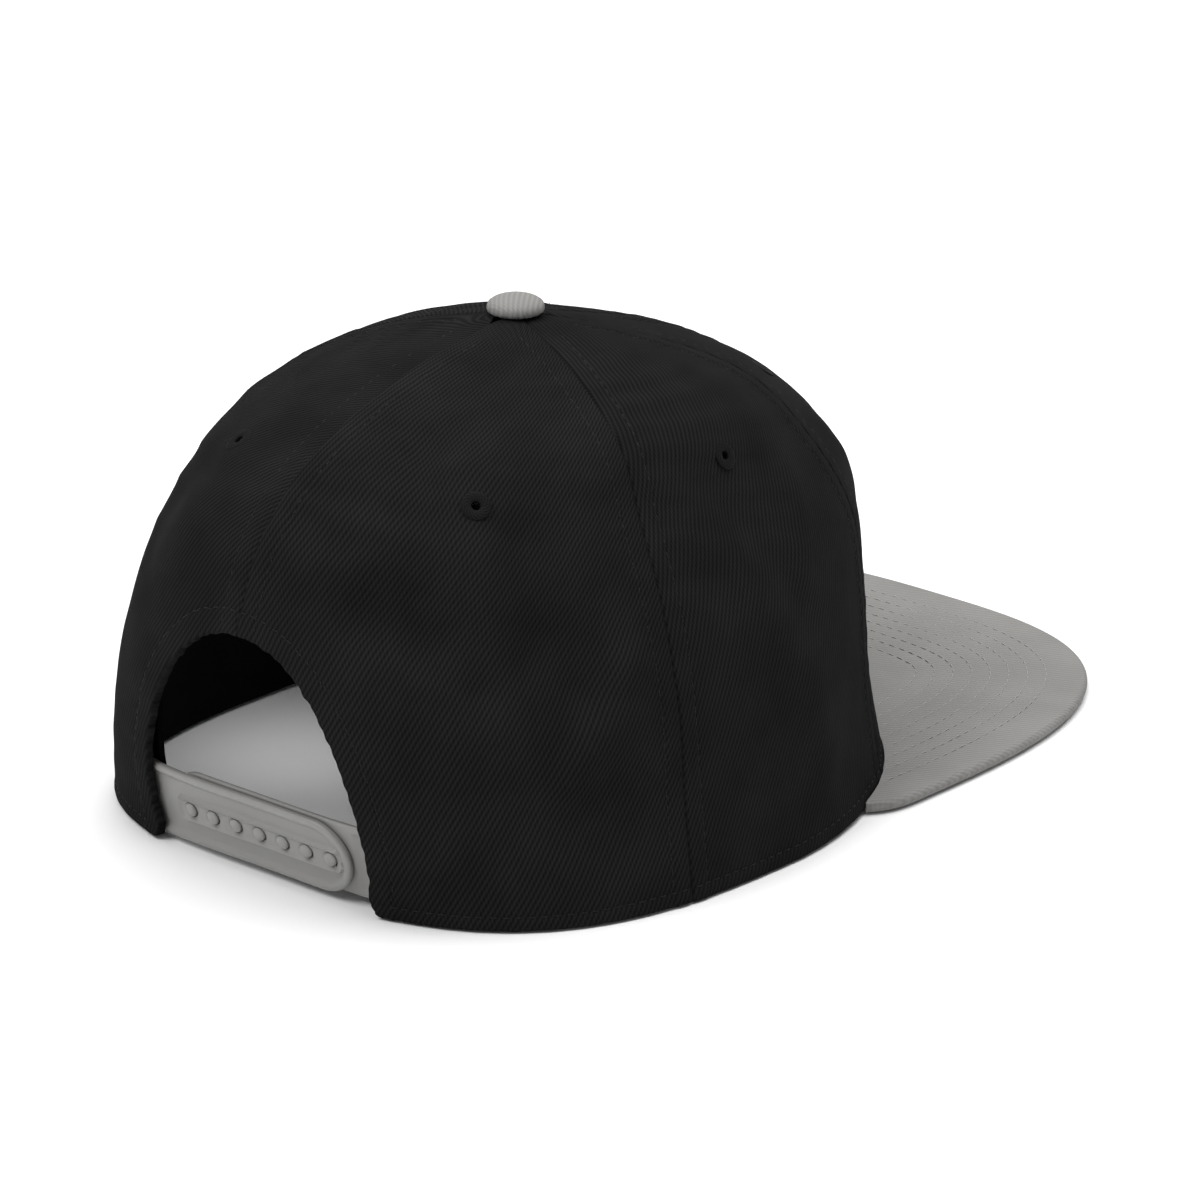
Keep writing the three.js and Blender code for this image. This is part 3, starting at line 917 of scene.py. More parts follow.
# Distances of grid lines from a seam, close together at the seam and at its stitch row
SEAM_LINES = np.array([0, .1, .22, .36, .55, .8, 1.2, 1.8, 2.6, 3.5, 4.2, 4.6, 4.85, 5.05, 5.25,
                       5.45, 5.75, 6.15, 6.7, 7.6, 9.0])


@dataclass
class Crown:
    """The six panels, with their seams, hem, arch and vent holes."""

    form: CrownForm
    place: Place
    arch: ArchForm = field(default_factory=ArchForm)
    sewing: Sewing = field(default_factory=Sewing)
    vents: tuple[Vent, ...] = (
        Vent("eyelet_front_right", -22.0, 0.64),
        Vent("eyelet_front_left", 22.0, 0.64),
        Vent("eyelet_side_right", -80.5, 0.63),
        Vent("eyelet_side_left", 80.5, 0.63),
        Vent("eyelet_back_right", -145.0, 0.642),
        Vent("eyelet_back_left", 164.0, 0.7),
    )
    vent_cut: float = 2.1
    twill_lean: float = 30.0
    top_rise: float = 0.985
    cell: float = 1.25
    # A back panel's width and height, which only settle how fine its grid is
    grid_width: float = 74.0
    grid_height: float = 128.0
    # Where stitch rows begin over the rim and the arch, as shares of the rise, and how wide a
    # panel is where they end
    row_foot: float = 0.028
    row_over_arch: float = 0.012
    row_end_width: float = 19.0
    row_points: int = 160
    hem_points: int = 300
    # Degrees that the hem's row stays short of a seam and of the arch
    short_of_seam: float = 0.4
    short_of_arch: float = 2.0
    # The arch's row starts this far over the rim, clear of the hem's own row
    arch_row_from: float = 5.0
    # Widest share of a panel that the close lines beside one seam may take
    seam_zone: float = 0.42
    # The two sides of the head use different parts of the cloth
    cloth_shift: float = 40.0

    def __post_init__(self) -> None:
        """Lay the arch's edge on the crown and measure the cloth."""
        self.cloth = ClothMap(self.form)
        outline = self.arch.outline()
        self.arch_rise = self.form.rise_at_height(outline[:, 1])
        self.arch_angle = self.form.angle_at_x(outline[:, 0], self.arch_rise)
        self.arch_angle[-1] = 180.0
        self.arch_line = self.form.plain(self.arch_angle, self.arch_rise)

    def sides(self, rise: Array, panel: Panel) -> tuple[Array, Array]:
        """Sizes of the angles of a panel's two seams."""
        return (self.form.seam(panel.first, rise, panel.hand),
                self.form.seam(panel.last, rise, panel.hand))

    def relief(self, angle: Array, rise: Array, panel: Panel) -> Array:
        """Height of the sewn cloth over the crown's soft surface.

        It adds up the rolled seams, the doubled cloth and groove at each stitch row, the rounded
        rim and arch, the small puckers that a sewn row draws up, and a faint swell.

        Args:
            angle: size of the angle from the front, on one side.
            rise: share of the way up.
            panel: which panel.

        Returns:
            Heights in millimetres.
        """
        sewing = self.sewing
        first, last = self.sides(rise, panel)
        start = self.cloth.between(first, angle, rise)
        end = self.cloth.between(angle, last, rise)
        up = self.cloth.above_rim(angle, rise)
        width = start + end
        room = smoothstep(width, *sewing.row_width)
        roll = sewing.seam_roll * smoothstep(width, *sewing.roll_width)
        height = np.zeros(angle.shape)
        seed = 3 + 7 * (panel.hand is Hand.LEFT)
        for index, away in enumerate((start, end)):
            height += room * sewing.row(away, sewing.seam_row, sewing.allowance)
            height -= roll * bell(away, 0, sewing.seam_roll_spread)
            drift = waves(up, 0 * up, sewing.pucker_drift_period, seed + index)
            beat = np.sin(2 * math.pi * up / sewing.pucker_period + sewing.pucker_drift * drift)
            drawn = bell(away, sewing.seam_row, sewing.pucker_reach) * room
            height += sewing.pucker * beat * drawn
        height += sewing.row(up, sewing.hem_row, sewing.hem_allowance) + sewing.rounding(up)
        run = self.cloth.read(self.cloth.level, angle, rise)
        beat = np.sin(2 * math.pi * run / sewing.hem_pucker_period)
        drawn = bell(up, sewing.hem_row, sewing.edge_pucker_reach)
        height += sewing.edge_pucker_share * sewing.pucker * beat * drawn
        if panel.last is Seam.BACK_CENTRE:
            away = away_from(self.form.plain(angle, rise), self.arch_line)
            height += sewing.row(away, sewing.arch_row, sewing.arch_allowance)
            height += sewing.rounding(away)
            beat = np.sin(2 * math.pi * up / sewing.arch_pucker_period)
            drawn = bell(away, sewing.arch_pucker_at, sewing.edge_pucker_reach)
            height += sewing.pucker * beat * drawn
        swell = sewing.swell * waves(run, up, sewing.swell_period, seed + 20)
        swell += sewing.ripple * waves(run, up, sewing.ripple_period, seed + 30)
        inside = smoothstep(np.minimum(start, end), *sewing.swell_beside_seam)
        return height + swell * smoothstep(up, 0, sewing.swell_over_rim) * inside

    def weave(self, angle: Array, rise: Array, middle: Array, hand: Hand) -> Array:
        """Cloth coordinates in metres: across the twill's ribs, and along them.

        Each panel is cut with its threads upright along its middle. Level and upright lengths are
        turned by the lean of the ribs, which rise to the right as seen from outside.

        Args:
            angle: angle from the front with the sign of its side.
            rise: share of the way up.
            middle: signed angle of the panel's middle line.
            hand: side of the head.

        Returns:
            Grid of coordinate pairs.
        """
        level = self.cloth.between(middle, angle, rise)
        up = self.cloth.above_rim(angle, rise)
        shift = np.array([0.0, self.cloth_shift * hand.value]) * MM
        return slanted(level, up, self.twill_lean) + shift

    def columns(self, width: Array, count: int) -> Array:
        """Grid lines between two seams, crowded beside each, as shares of a width.

        Args:
            width: width of the panel at each row.
            count: how many lines lie in the open middle.

        Returns:
            Array of rows by lines.
        """
        zone = np.minimum(SEAM_LINES[-1], self.seam_zone * width)
        near = SEAM_LINES / SEAM_LINES[-1] * (zone / width)[:, None]
        middle = np.linspace(0, 1, count + 2)[1:-1]
        share = (zone / width)[:, None]
        inside = share + (1 - 2 * share) * middle
        return np.concatenate([near, inside, 1 - near[:, ::-1]], axis=1)

    def plain_grid(self, panel: Panel) -> tuple[Array, Array]:
        """Angles and rises of a front or side panel, rows level and columns from seam to seam.

        Args:
            panel: which panel.

        Returns:
            Grids of angle sizes and of rises.
        """
        # The rim is as crowded as a seam, and even lines follow past the hem's stitch row
        beside = 60.0
        tall = float(self.cloth.above_rim(np.array(beside), np.array(self.top_rise)))
        low = np.concatenate([SEAM_LINES[:5], np.arange(1.7, 6.2, 0.35)]) / tall
        high = np.linspace(low[-1], 1.0, int(tall / self.cell))[1:]
        rise = np.concatenate([low, high]) * self.top_rise
        start, end = self.sides(rise, panel)
        width = self.cloth.between(start, end, rise)
        share = self.columns(width, int((width.max() - 2 * SEAM_LINES[-1]) / self.cell))
        size = start[:, None] + (end - start)[:, None] * share
        return size, np.repeat(rise[:, None], share.shape[1], axis=1)

    def chart(self, angle: Array, rise: Array) -> Array:
        """Places on a flat chart with the top of the crown in its middle and a circle as rim."""
        turn = np.radians(angle)
        return np.stack([(1 - rise) * np.sin(turn), -(1 - rise) * np.cos(turn)], axis=-1)

    def arch_grid(self, panel: Panel) -> tuple[Array, Array]:
        """Angles and rises of a back panel, as a grid bent round the arch.

        The panel is laid out flat with the top of the crown in the middle and the rim at radius
        1. There it has four sides: the arch, the rim, the side seam and the centre seam. The grid
        is the sum of the straight mixes of opposite sides less the mix of the four corners.

        Args:
            panel: which panel.

        Returns:
            Grids of angle sizes and of rises.
        """
        wide, tall = self.grid_width, self.grid_height
        # Shares after which the side seam and the centre seam bend into one tip
        seam_bend, centre_bend = 0.985, 0.975
        # Close lines reach past the stitch row round the arch, and even ones follow
        up = np.concatenate([np.arange(0, 6.6, 0.42) / tall,
                             np.linspace(6.9 / tall, 1, int(tall / self.cell))])
        out = self.columns(np.array([wide]), int((wide - 2 * SEAM_LINES[-1]) / self.cell))[0]
        tip = self.chart(sum(self.sides(1.0, panel)) / 2, self.top_rise)
        way = np.linspace(0, 1, len(self.arch_angle))
        arch = self.chart(np.interp(up, way, self.arch_angle), np.interp(up, way, self.arch_rise))
        seam_rise = up * self.top_rise
        seam = self.chart(np.full(up.shape, self.form.back_seam), seam_rise)
        seam = seam + (tip - seam[-1]) * smoothstep(up, seam_bend, 1)[:, None]
        foot_angle, foot_rise = self.arch_angle[0], self.arch_rise[0]
        rim_angle = foot_angle + (self.form.back_seam - foot_angle) * out
        rim = self.chart(rim_angle, foot_rise * np.clip(1 - out * 30, 0, 1) ** 2)
        top_rise = self.arch_rise[-1] + (self.top_rise - self.arch_rise[-1]) * out
        centre = self.chart(self.form.seam(panel.last, top_rise, panel.hand), top_rise)
        centre = centre + (tip - centre[-1]) * smoothstep(out, centre_bend, 1)[:, None]
        s, t = up[:, None, None], out[None, :, None]
        sides = ((1 - t) * arch[:, None] + t * seam[:, None]
                 + (1 - s) * rim[None] + s * centre[None])
        corners = ((1 - s) * (1 - t) * arch[0] + s * (1 - t) * arch[-1]
                   + (1 - s) * t * seam[0] + s * t * seam[-1])
        flat = sides - corners
        radius = np.linalg.norm(flat, axis=-1)
        angle = np.degrees(np.arctan2(flat[..., 0], -flat[..., 1]))
        return np.where(angle < 0, angle + 360, angle), np.clip(1 - radius, 0, 1)

    def wall(self, panel: Panel) -> bpy.types.Object:
        """Make one panel as a closed wall with its holes, in place of its node.

        Args:
            panel: which panel.

        Returns:
            The panel.
        """
        if panel.last is Seam.BACK_CENTRE:
            size, rise = self.arch_grid(panel)
        else:
            size, rise = self.plain_grid(panel)
        angle = size * panel.hand.value
        height = self.relief(size, rise, panel)
        outer = self.form.point(angle, rise, height)
        edge = np.minimum(height, 0.0)
        inner = self.form.point(angle, rise, -self.form.wall - 0.5 * np.maximum(edge, -1.2))
        middle = sum(self.sides(rise, panel)) / 2 * panel.hand.value
        cloth = self.weave(angle, rise, middle, panel.hand)
        centre = (outer[:-1, :-1] + outer[1:, :-1] + outer[1:, 1:] + outer[:-1, 1:]) / 4
        keep = np.ones(centre.shape[:2], bool)
        for vent in self.vents:
            hole = self.form.point(vent.angle, vent.rise)
            keep &= np.linalg.norm(centre - hole, axis=-1) > self.vent_cut
        return self.place.mesh(f"{panel.node}_cloth", shell(outer, inner, cloth, keep))

    def vent_foot(self, vent: Vent) -> Array:
        """Middle of a vent hole on the sewn cloth.

        Args:
            vent: the vent hole.

        Returns:
            The point.
        """
        hand = Hand(int(np.sign(vent.angle)))
        size, rise = np.array([abs(vent.angle)]), np.array([vent.rise])
        panel = next(panel for panel in PANELS
                     if panel.hand is hand and size[0] < self.sides(rise, panel)[1][0])
        height = self.relief(size, rise, panel)
        return self.form.point(vent.angle, vent.rise, float(height[0]))

    def row_end(self, panel: Panel) -> float:
        """Rise at which a panel is too narrow for its stitch rows to go on.

        Args:
            panel: which panel.

        Returns:
            Share of the way up.
        """
        def narrowing(rise: Array) -> Array:
            """Minus the panel's width."""
            return -self.cloth.between(*self.sides(rise, panel), rise)
        return float(solve(narrowing, np.array(-self.row_end_width), 0.3, 0.97))

    def rows(self) -> list[tuple[Array, Array]]:
        """Lines of topstitching with the direction out of the cloth at each of their points.

        Returns:
            Two rows beside each seam on both sides, one along the rim and one round the arch.
        """
        sewing = self.sewing
        lines = []
        for panel in PANELS:
            top = self.row_end(panel)
            for seam, toward in ((panel.first, 1), (panel.last, -1)):
                foot = self.row_foot
                if seam is Seam.BACK_CENTRE:
                    foot = self.arch_rise[-1] + self.row_over_arch
                rise = np.linspace(foot, top, self.row_points)
                base = self.form.seam(seam, rise, panel.hand)
                turn = toward * sewing.seam_row / self.form.per_degree(base, rise)
                lines.append(self.line(base + turn, rise, panel))
            start, end = self.sides(0.0, panel)
            size = np.linspace(float(start) + self.short_of_seam, float(end) - self.short_of_seam,
                               self.hem_points)
            if panel.last is Seam.BACK_CENTRE:
                size = size[size < self.arch_angle[0] - self.short_of_arch]
            low = 0.05
            per_rise = self.cloth.above_rim(size, np.full(size.shape, low)) / low
            lines.append(self.line(size, sewing.hem_row / per_rise, panel))
            if panel.last is Seam.BACK_CENTRE:
                lines.append(self.arch_stitching(panel))
        return lines

    def arch_stitching(self, panel: Panel) -> tuple[Array, Array]:
        """Stitch line round one half of the arch: its edge moved out along the cloth.

        Args:
            panel: the back panel with that half.

        Returns:
            Points, and directions out of the cloth.
        """
        turn, climb, slope = 0.5, 0.004, 0.01
        behind, last_angle = (180.0, 0.2), 179.8
        point = self.form.plain(self.arch_angle, self.arch_rise)
        normal = self.form.normal(self.arch_angle, self.arch_rise)
        outward = unit(np.cross(np.gradient(point, axis=0), normal))
        level = unit(self.form.plain(self.arch_angle + turn, self.arch_rise) - point)
        upright = unit(self.form.plain(self.arch_angle, self.arch_rise + climb) - point)
        sign = np.sign((outward * (point - self.form.plain(*behind))).sum(-1).mean())
        step = outward * sign * self.sewing.arch_row
        angle = self.arch_angle + (step * level).sum(-1) / self.form.per_degree(
            self.arch_angle, self.arch_rise)
        per_rise = np.linalg.norm(self.form.plain(self.arch_angle, self.arch_rise + slope)
                                  - point, axis=-1) / slope
        rise = self.arch_rise + (step * upright).sum(-1) / per_rise
        keep = self.cloth.above_rim(angle, rise) > self.arch_row_from
        return self.line(np.minimum(angle[keep], last_angle), rise[keep], panel)

    def line(self, size: Array, rise: Array, panel: Panel) -> tuple[Array, Array]:
        """Points on the sewn cloth, raised to lie in their groove, and their directions out."""
        angle, lifted = size * panel.hand.value, self.sewing.thread / 2
        return (self.form.point(angle, rise, self.relief(size, rise, panel) + lifted),
                self.form.normal(angle, rise))

    def topstitching(self) -> bpy.types.Object:
        """Make all the crown's stitches as one piece.

        Returns:
            The stitches.
        """
        sewing = self.sewing
        rows = [stitches(line, up, sewing.pitch, sewing.stitch, sewing.thread, sewing.sink)
                for line, up in self.rows()]
        return self.place.mesh("crown_topstitching", reduce(Cloud.joined, rows), STITCH_SHARP)


@dataclass(frozen=True)
class ThreadRing:
    """Embroidered ring of a vent hole, in millimetres.

    Its section is an ellipse that also runs down through the cloth, and its radius is ribbed by
    one rounded rib for each turn of thread.
    """

    hole: float = 1.15
    reach: float = 3.5
    height: float = 0.26
    under: float = 2.5
    threads: int = 36
    rib: float = 0.06
    rib_points: int = 6
    section_points: int = 28
    uneven: tuple[float, float] = (0.7, 1.25)
    under_height: float = 0.35
    sunk: float = 0.02

    def surface(self, foot: Array, axis: Array, seed: int) -> Cloud:
        """Ring standing at a foot along an axis.

        Args:
            foot: middle of the hole on the cloth.
            axis: direction out of the cloth.
            seed: which irregular set of threads.

        Returns:
            The closed ring.
        """
        around = self.threads * self.rib_points
        turn = np.linspace(0, 2 * math.pi, around, endpoint=False)
        section = np.linspace(0, 2 * math.pi, self.section_points, endpoint=False)
        middle, half = (self.hole + self.reach) / 2, (self.reach - self.hole) / 2
        draw = np.random.default_rng(seed)
        uneven = np.repeat(draw.uniform(*self.uneven, self.threads), self.rib_points)
        lift = np.sqrt(np.abs(np.sin(self.threads * turn / 2)))
        swell = 1 + self.rib * uneven * lift
        radius = middle + half * np.cos(section)[:, None] * swell
        body = np.where(np.sin(section) > 0, self.height, self.under_height)[:, None]
        z = body * np.sin(section)[:, None] * swell - self.sunk
        down = np.where(np.sin(section) < 0, self.under, 0)[:, None]
        z = z - down * np.clip(np.cos(section - math.pi), 0, 1)[:, None] ** 0.5 * (
            np.sin(section) < 0)[:, None]
        helper = unit(np.cross([0.0, 0.0, 1.0], axis))
        other = np.cross(axis, helper)
        spoke = np.cos(turn)[:, None] * helper + np.sin(turn)[:, None] * other
        points = foot + radius[..., None] * spoke + z[..., None] * axis
        cloth = np.stack(np.broadcast_arrays(turn * middle, section[:, None] * half), axis=-1)
        return ring_surface(points, cloth * MM, closed_rows=True)


# Visor


# Distances of grid lines from the visor's outline, close together where its edge rounds over
EDGE_LINES = np.array([3.4, 2.9, 2.5, 2.1, 1.7, 1.35, 1.05, .8, .58, .4, .26, .15, .07, .02, 0])


@dataclass
class Visor:
    """The flat visor: a covered board with rows of stitching, and its underside."""

    form: CrownForm
    place: Place
    reach: float = 162.5
    half_width: float = 85.0
    widest_at: float = 51.5
    taper: float = 29.0
    squareness: float = 2.95
    thickness: float = 1.8
    underside: float = 1.0
    inset: float = 3.0
    tip: float = 0.8
    gap: float = 0.3
    lip: float = 2.2
    first_row: float = 10.5
    row_pitch: float = 4.72
    row_count: int = 8
    stitch_pitch: float = 3.5
    stitch: float = 2.5
    thread: float = 0.16
    groove: float = 0.05
    quilting: float = 0.12
    groove_spread: float = 0.5
    # The quilting fades out over this length past the first and last rows
    quilt_fade: float = 3.0
    lip_bend: float = 0.6
    swell: float = 0.08
    swell_period: float = 40.0
    swell_seed: int = 5
    swell_from_edge: tuple[float, float] = (2.0, 9.0)
    twill_lean: float = 34.0
    columns: int = 300
    rows: int = 84
    line_points: int = 900
    # A row ends where its distance from the outline is off by this, or this near the rim
    line_error: float = 0.15
    short_of_rim: float = 1.5
    # Stitches stand this share of their thread over the cloth, and their ends lie lower
    proud: float = 0.8
    sink: float = 0.2

    def edge(self, turn: Array, inset: float) -> Array:
        """Outline as a superellipse, from 0 in front past 90 degrees at the widest place.

        Args:
            turn: degrees round the outline.
            inset: how far inside the outline.

        Returns:
            Points x, y.
        """
        sine, cosine = np.sin(np.radians(turn)), np.cos(np.radians(turn))
        reach = np.where(cosine > 0, self.reach - self.widest_at - inset, self.taper)
        x = (self.half_width - inset) * signed_power(sine, 2 / self.squareness)
        y = -self.widest_at - reach * signed_power(cosine, 2 / self.squareness)
        return np.stack([x, y], axis=-1)

    def beside_rim(self, bearing: Array) -> Array:
        """Points just outside the rim at a bearing from the middle."""
        return self.form.plain(bearing, 0.0, self.gap)[..., :2]

    def bearing(self, point: Array) -> Array:
        """Degrees from the front of a point seen from the middle."""
        return np.degrees(np.arctan2(point[..., 0], -point[..., 1]))

    def end_turn(self, inset: float) -> float:
        """Turn at which the outline runs into the rim.

        Args:
            inset: how far the outline is drawn in.

        Returns:
            Degrees.
        """
        def behind(turn: Array) -> Array:
            """How far inside the rim the outline is.

            Args:
                turn: degrees round the outline.

            Returns:
                Lengths in millimetres.
            """
            edge = self.edge(turn, inset)
            rim = self.beside_rim(self.bearing(edge))
            return np.linalg.norm(rim, axis=-1) - np.linalg.norm(edge, axis=-1)
        return float(solve(behind, np.array(-self.tip), 90, 170))

    def plan(self, inset: float) -> tuple[Array, Array]:
        """Grid of places from the rim to the outline, crowded toward the outline.

        Args:
            inset: how far the outline is drawn in.

        Returns:
            Points x, y and the distance of each from the outline.
        """
        end_turn = self.end_turn(inset)
        end_bearing = float(self.bearing(self.edge(np.array(end_turn), inset)))
        across = np.linspace(-1, 1, self.columns + 1)
        outer = self.edge(across * end_turn, inset)
        way = np.concatenate([[0], np.cumsum(np.linalg.norm(np.diff(outer, axis=0), axis=1))])
        even = np.interp(np.linspace(0, way[-1], self.columns + 1), way, across)
        outer = self.edge(even * end_turn, inset)
        inner = self.beside_rim(even * end_bearing)
        width = np.linalg.norm(outer - inner, axis=-1)
        limit = np.minimum(EDGE_LINES[0], width / 2)
        near = 1 - EDGE_LINES[:, None] / EDGE_LINES[0] * limit / width
        far = np.linspace(0, 1, self.rows)[:-1, None] * near[0]
        share = np.concatenate([far, near])[..., None]
        points = inner + (outer - inner) * share
        away = away_from(points, outer)
        return points, away

    @property
    def top(self) -> float:
        """Height of the visor's upper side."""
        return self.underside + self.gap + self.thickness

    def rounded(self, away: Array, thickness: float) -> Array:
        """How far a side draws in beside the outline: a quarter circle of half the thickness.

        Args:
            away: distance from the outline.
            thickness: thickness of the board there.

        Returns:
            Lengths in millimetres.
        """
        radius = thickness / 2
        way = np.clip(1 - away / radius, 0, 1)
        return radius * (1 - np.sqrt(np.clip(1 - way ** 2, 0, 1)))

    def cover(self) -> bpy.types.Object:
        """Make the covered board: quilted on top, and wrapped round its edge down to the floor.

        Returns:
            The board.
        """
        plan, away = self.plan(0.0)
        x, y = plan[..., 0], plan[..., 1]
        drop = self.rounded(away, self.top)
        swell = self.swell * waves(x, y, self.swell_period, self.swell_seed)
        swell = swell * smoothstep(away, *self.swell_from_edge)
        high = self.top - drop + self.quilt(away) + swell
        low = drop + (self.underside + self.gap) * smoothstep(
            away, self.lip, self.lip + self.lip_bend)
        wall = shell(np.stack([x, y, high], axis=-1), np.stack([x, y, low], axis=-1),
                     self.weave(x, y + drop))
        return self.place.mesh("visor_cover", wall)

    def lining(self) -> bpy.types.Object:
        """Make the underside: a thin board inside the cover's wrapped edge.

        Returns:
            The underside.
        """
        plan, away = self.plan(self.inset)
        x, y = plan[..., 0], plan[..., 1]
        drop = self.rounded(away, self.underside)
        wall = shell(np.stack([x, y, self.underside - drop], axis=-1),
                     np.stack([x, y, drop], axis=-1), self.weave(x, y))
        return self.place.mesh("visor_lining_board", wall)

    def weave(self, x: Array, y: Array) -> Array:
        """Cloth coordinates in metres, turned by the lean of the twill's ribs."""
        return slanted(x, y, self.twill_lean)

    def quilt(self, away: Array) -> Array:
        """Relief of the sewn rows: soft swells between them and a narrow groove along each.

        Args:
            away: distance from the outline.

        Returns:
            Heights in millimetres, minus for a groove.
        """
        last = self.first_row + (self.row_count - 1) * self.row_pitch
        beat = np.cos(2 * math.pi * (away - self.first_row) / self.row_pitch)
        inside = smoothstep(away, self.first_row - self.quilt_fade, self.first_row) * (
            1 - smoothstep(away, last, last + self.quilt_fade))
        groove = sum(bell(away, self.first_row + index * self.row_pitch, self.groove_spread)
                     for index in range(self.row_count))
        return -self.quilting * (beat + 1) / 2 * inside - self.groove * groove

    def stitching(self) -> bpy.types.Object:
        """Make the rows of stitches, each at one distance from the outline.

        Returns:
            All the visor's stitches as one piece.
        """
        outline = self.edge(np.linspace(-1, 1, self.line_points) * self.end_turn(0.0), 0.0)
        tangent = unit(np.gradient(outline, axis=0))
        inward = np.stack([tangent[:, 1], -tangent[:, 0]], axis=-1)
        inward = inward * np.sign((-outline * inward).sum(-1))[:, None]
        rows = []
        for index in range(self.row_count):
            away = self.first_row + index * self.row_pitch
            line = outline + inward * away
            true = np.abs(away_from(line, outline) - away) < self.line_error
            rim = self.beside_rim(self.bearing(line))
            clear = (np.linalg.norm(line, axis=-1) - np.linalg.norm(rim, axis=-1)
                     > self.short_of_rim)
            line = line[true & clear]
            z = self.top + self.quilt(np.full(len(line), away)) + self.thread * self.proud
            up = np.tile([0.0, 0.0, 1.0], (len(line), 1))
            points = np.concatenate([line, z[:, None]], axis=1)
            rows.append(stitches(points, up, self.stitch_pitch, self.stitch, self.thread,
                                 self.sink))
        return self.place.mesh("visor_stitching", reduce(Cloud.joined, rows), STITCH_SHARP)


# Button


@dataclass
class Button:
    """Cloth-covered button on top of the crown."""

    form: CrownForm
    place: Place
    top: float
    diameter: float = 14.0
    height: float = 4.16
    edge: float = 1.1
    tuck: float = 0.9
    squareness: float = 2.3
    dome_points: int = 26
    sides: int = 96
    # Gathers round the edge: height, how many, and where the first one starts
    gathers: tuple[tuple[float, int, float], ...] = ((0.07, 17, 0.0), (0.05, 29, 1.0))
    gathers_from: float = 0.8
    twill_lean: float = -38.0
    stretch: float = 0.12

    def surface(self) -> Cloud:
        """Low dome with a tucked edge.

        Its profile is a superellipse quarter over the edge and a short curl under it. The cloth
        lies flat over it, and small gathers show round the edge.

        Returns:
            The closed dome.
        """
        radius = self.diameter / 2
        foot = self.top - self.height
        turn = np.radians(np.linspace(90, 0, self.dome_points))
        dome_r = radius * np.cos(turn) ** (2 / self.squareness)
        dome_z = self.edge + (self.height - self.edge) * np.sin(turn) ** (2 / self.squareness)
        curl = np.radians(np.linspace(0, 90, 9))[1:]
        curl_r = radius - self.tuck * (1 - np.cos(curl)) * 1.2
        curl_z = self.edge * (1 - np.sin(curl))
        last = np.array([[radius * 0.7, 0.0], [radius * 0.35, -0.1], [0.0, -0.1]])
        profile = np.concatenate([np.stack([dome_r, dome_z], axis=-1),
                                  np.stack([curl_r, curl_z], axis=-1), last])
        profile[0, 0] = 0.0
        cloud = turned(profile, self.sides, np.array([0.0, self.form.lean, foot]),
                       np.array([0.0, 0.0, 1.0]))
        bearing = np.arctan2(cloud.points[:, 1] - self.form.lean, cloud.points[:, 0])
        out = np.hypot(cloud.points[:, 0], cloud.points[:, 1] - self.form.lean) / radius
        gather = sum(high * np.sin(count * bearing + start) for high, count, start in self.gathers)
        cloud.points[:, 2] += gather * smoothstep(out, self.gathers_from, 1.0)
        stretched = 1 + self.stretch * out ** 2
        x, y = cloud.points[:, 0] * stretched, cloud.points[:, 1] * stretched
        cloud.cloth = slanted(x, y, self.twill_lean)
        return cloud

    def piece(self) -> bpy.types.Object:
        """Make the button."""
        return self.place.mesh("crown_button_cloth", self.surface())


# Band and closure


@dataclass
class Sweatband:
    """Woven band inside the rim, with a folded upper edge."""

    form: CrownForm
    place: Place
    height: float = 36.0
    foot: float = 0.6
    thickness: float = 1.2
    clearance: float = 0.6
    end_x: float = 34.6
    step_from: float = 136.0
    step_to: float = 150.0
    step_left: float = 1.7
    step_right: float = 3.2
    tuck: float = 0.5
    tuck_reach: float = 0.7
    fold: float = 0.22
    fold_at: float = 1.6
    fold_spread: float = 1.2
    # Cloth for a degree of angle, which is about the rim's length over 360
    cloth_per_degree: float = 1.55
    columns: int = 330
    rows: int = 44

    def depth(self, angle: Array) -> Array:
        """Depth of its outer face, which steps inward behind the tab of the strap on its side."""
        step = np.where(angle < 0, self.step_right, self.step_left)
        return (self.form.wall + self.clearance
                + step * smoothstep(np.abs(angle), self.step_from, self.step_to))

    def piece(self) -> bpy.types.Object:
        """Make the band: a wall whose edges round over and whose folded edge is a little fuller.

        Returns:
            The band.
        """
        form = self.form
        low = float(form.rise_at_height(np.array(self.foot)))
        high = float(form.rise_at_height(np.array(self.height)))
        end = float(form.angle_at_x(np.array(self.end_x), np.array(0.0)))
        angle = np.linspace(-end, end, self.columns)[None, :]
        way = np.linspace(0, 1, self.rows)[:, None]
        angle, way = np.broadcast_arrays(angle, 0.5 - 0.5 * np.cos(math.pi * way))
        rise = low + (high - low) * way
        up = way * (self.height - self.foot)
        edge = np.minimum(up, self.height - self.foot - up)
        tuck = self.tuck * np.clip(1 - edge / self.tuck_reach, 0, 1) ** 2
        fold = self.fold * bell(self.height - self.foot - up, self.fold_at, self.fold_spread)
        depth = self.depth(angle)
        outer = form.point(angle, rise, -depth - tuck)
        inner = form.point(angle, rise, -depth - self.thickness + tuck - fold)
        cloth = np.stack([angle * self.cloth_per_degree, up], axis=-1) * MM
        return self.place.mesh("sweatband_cloth", shell(outer, inner, cloth))


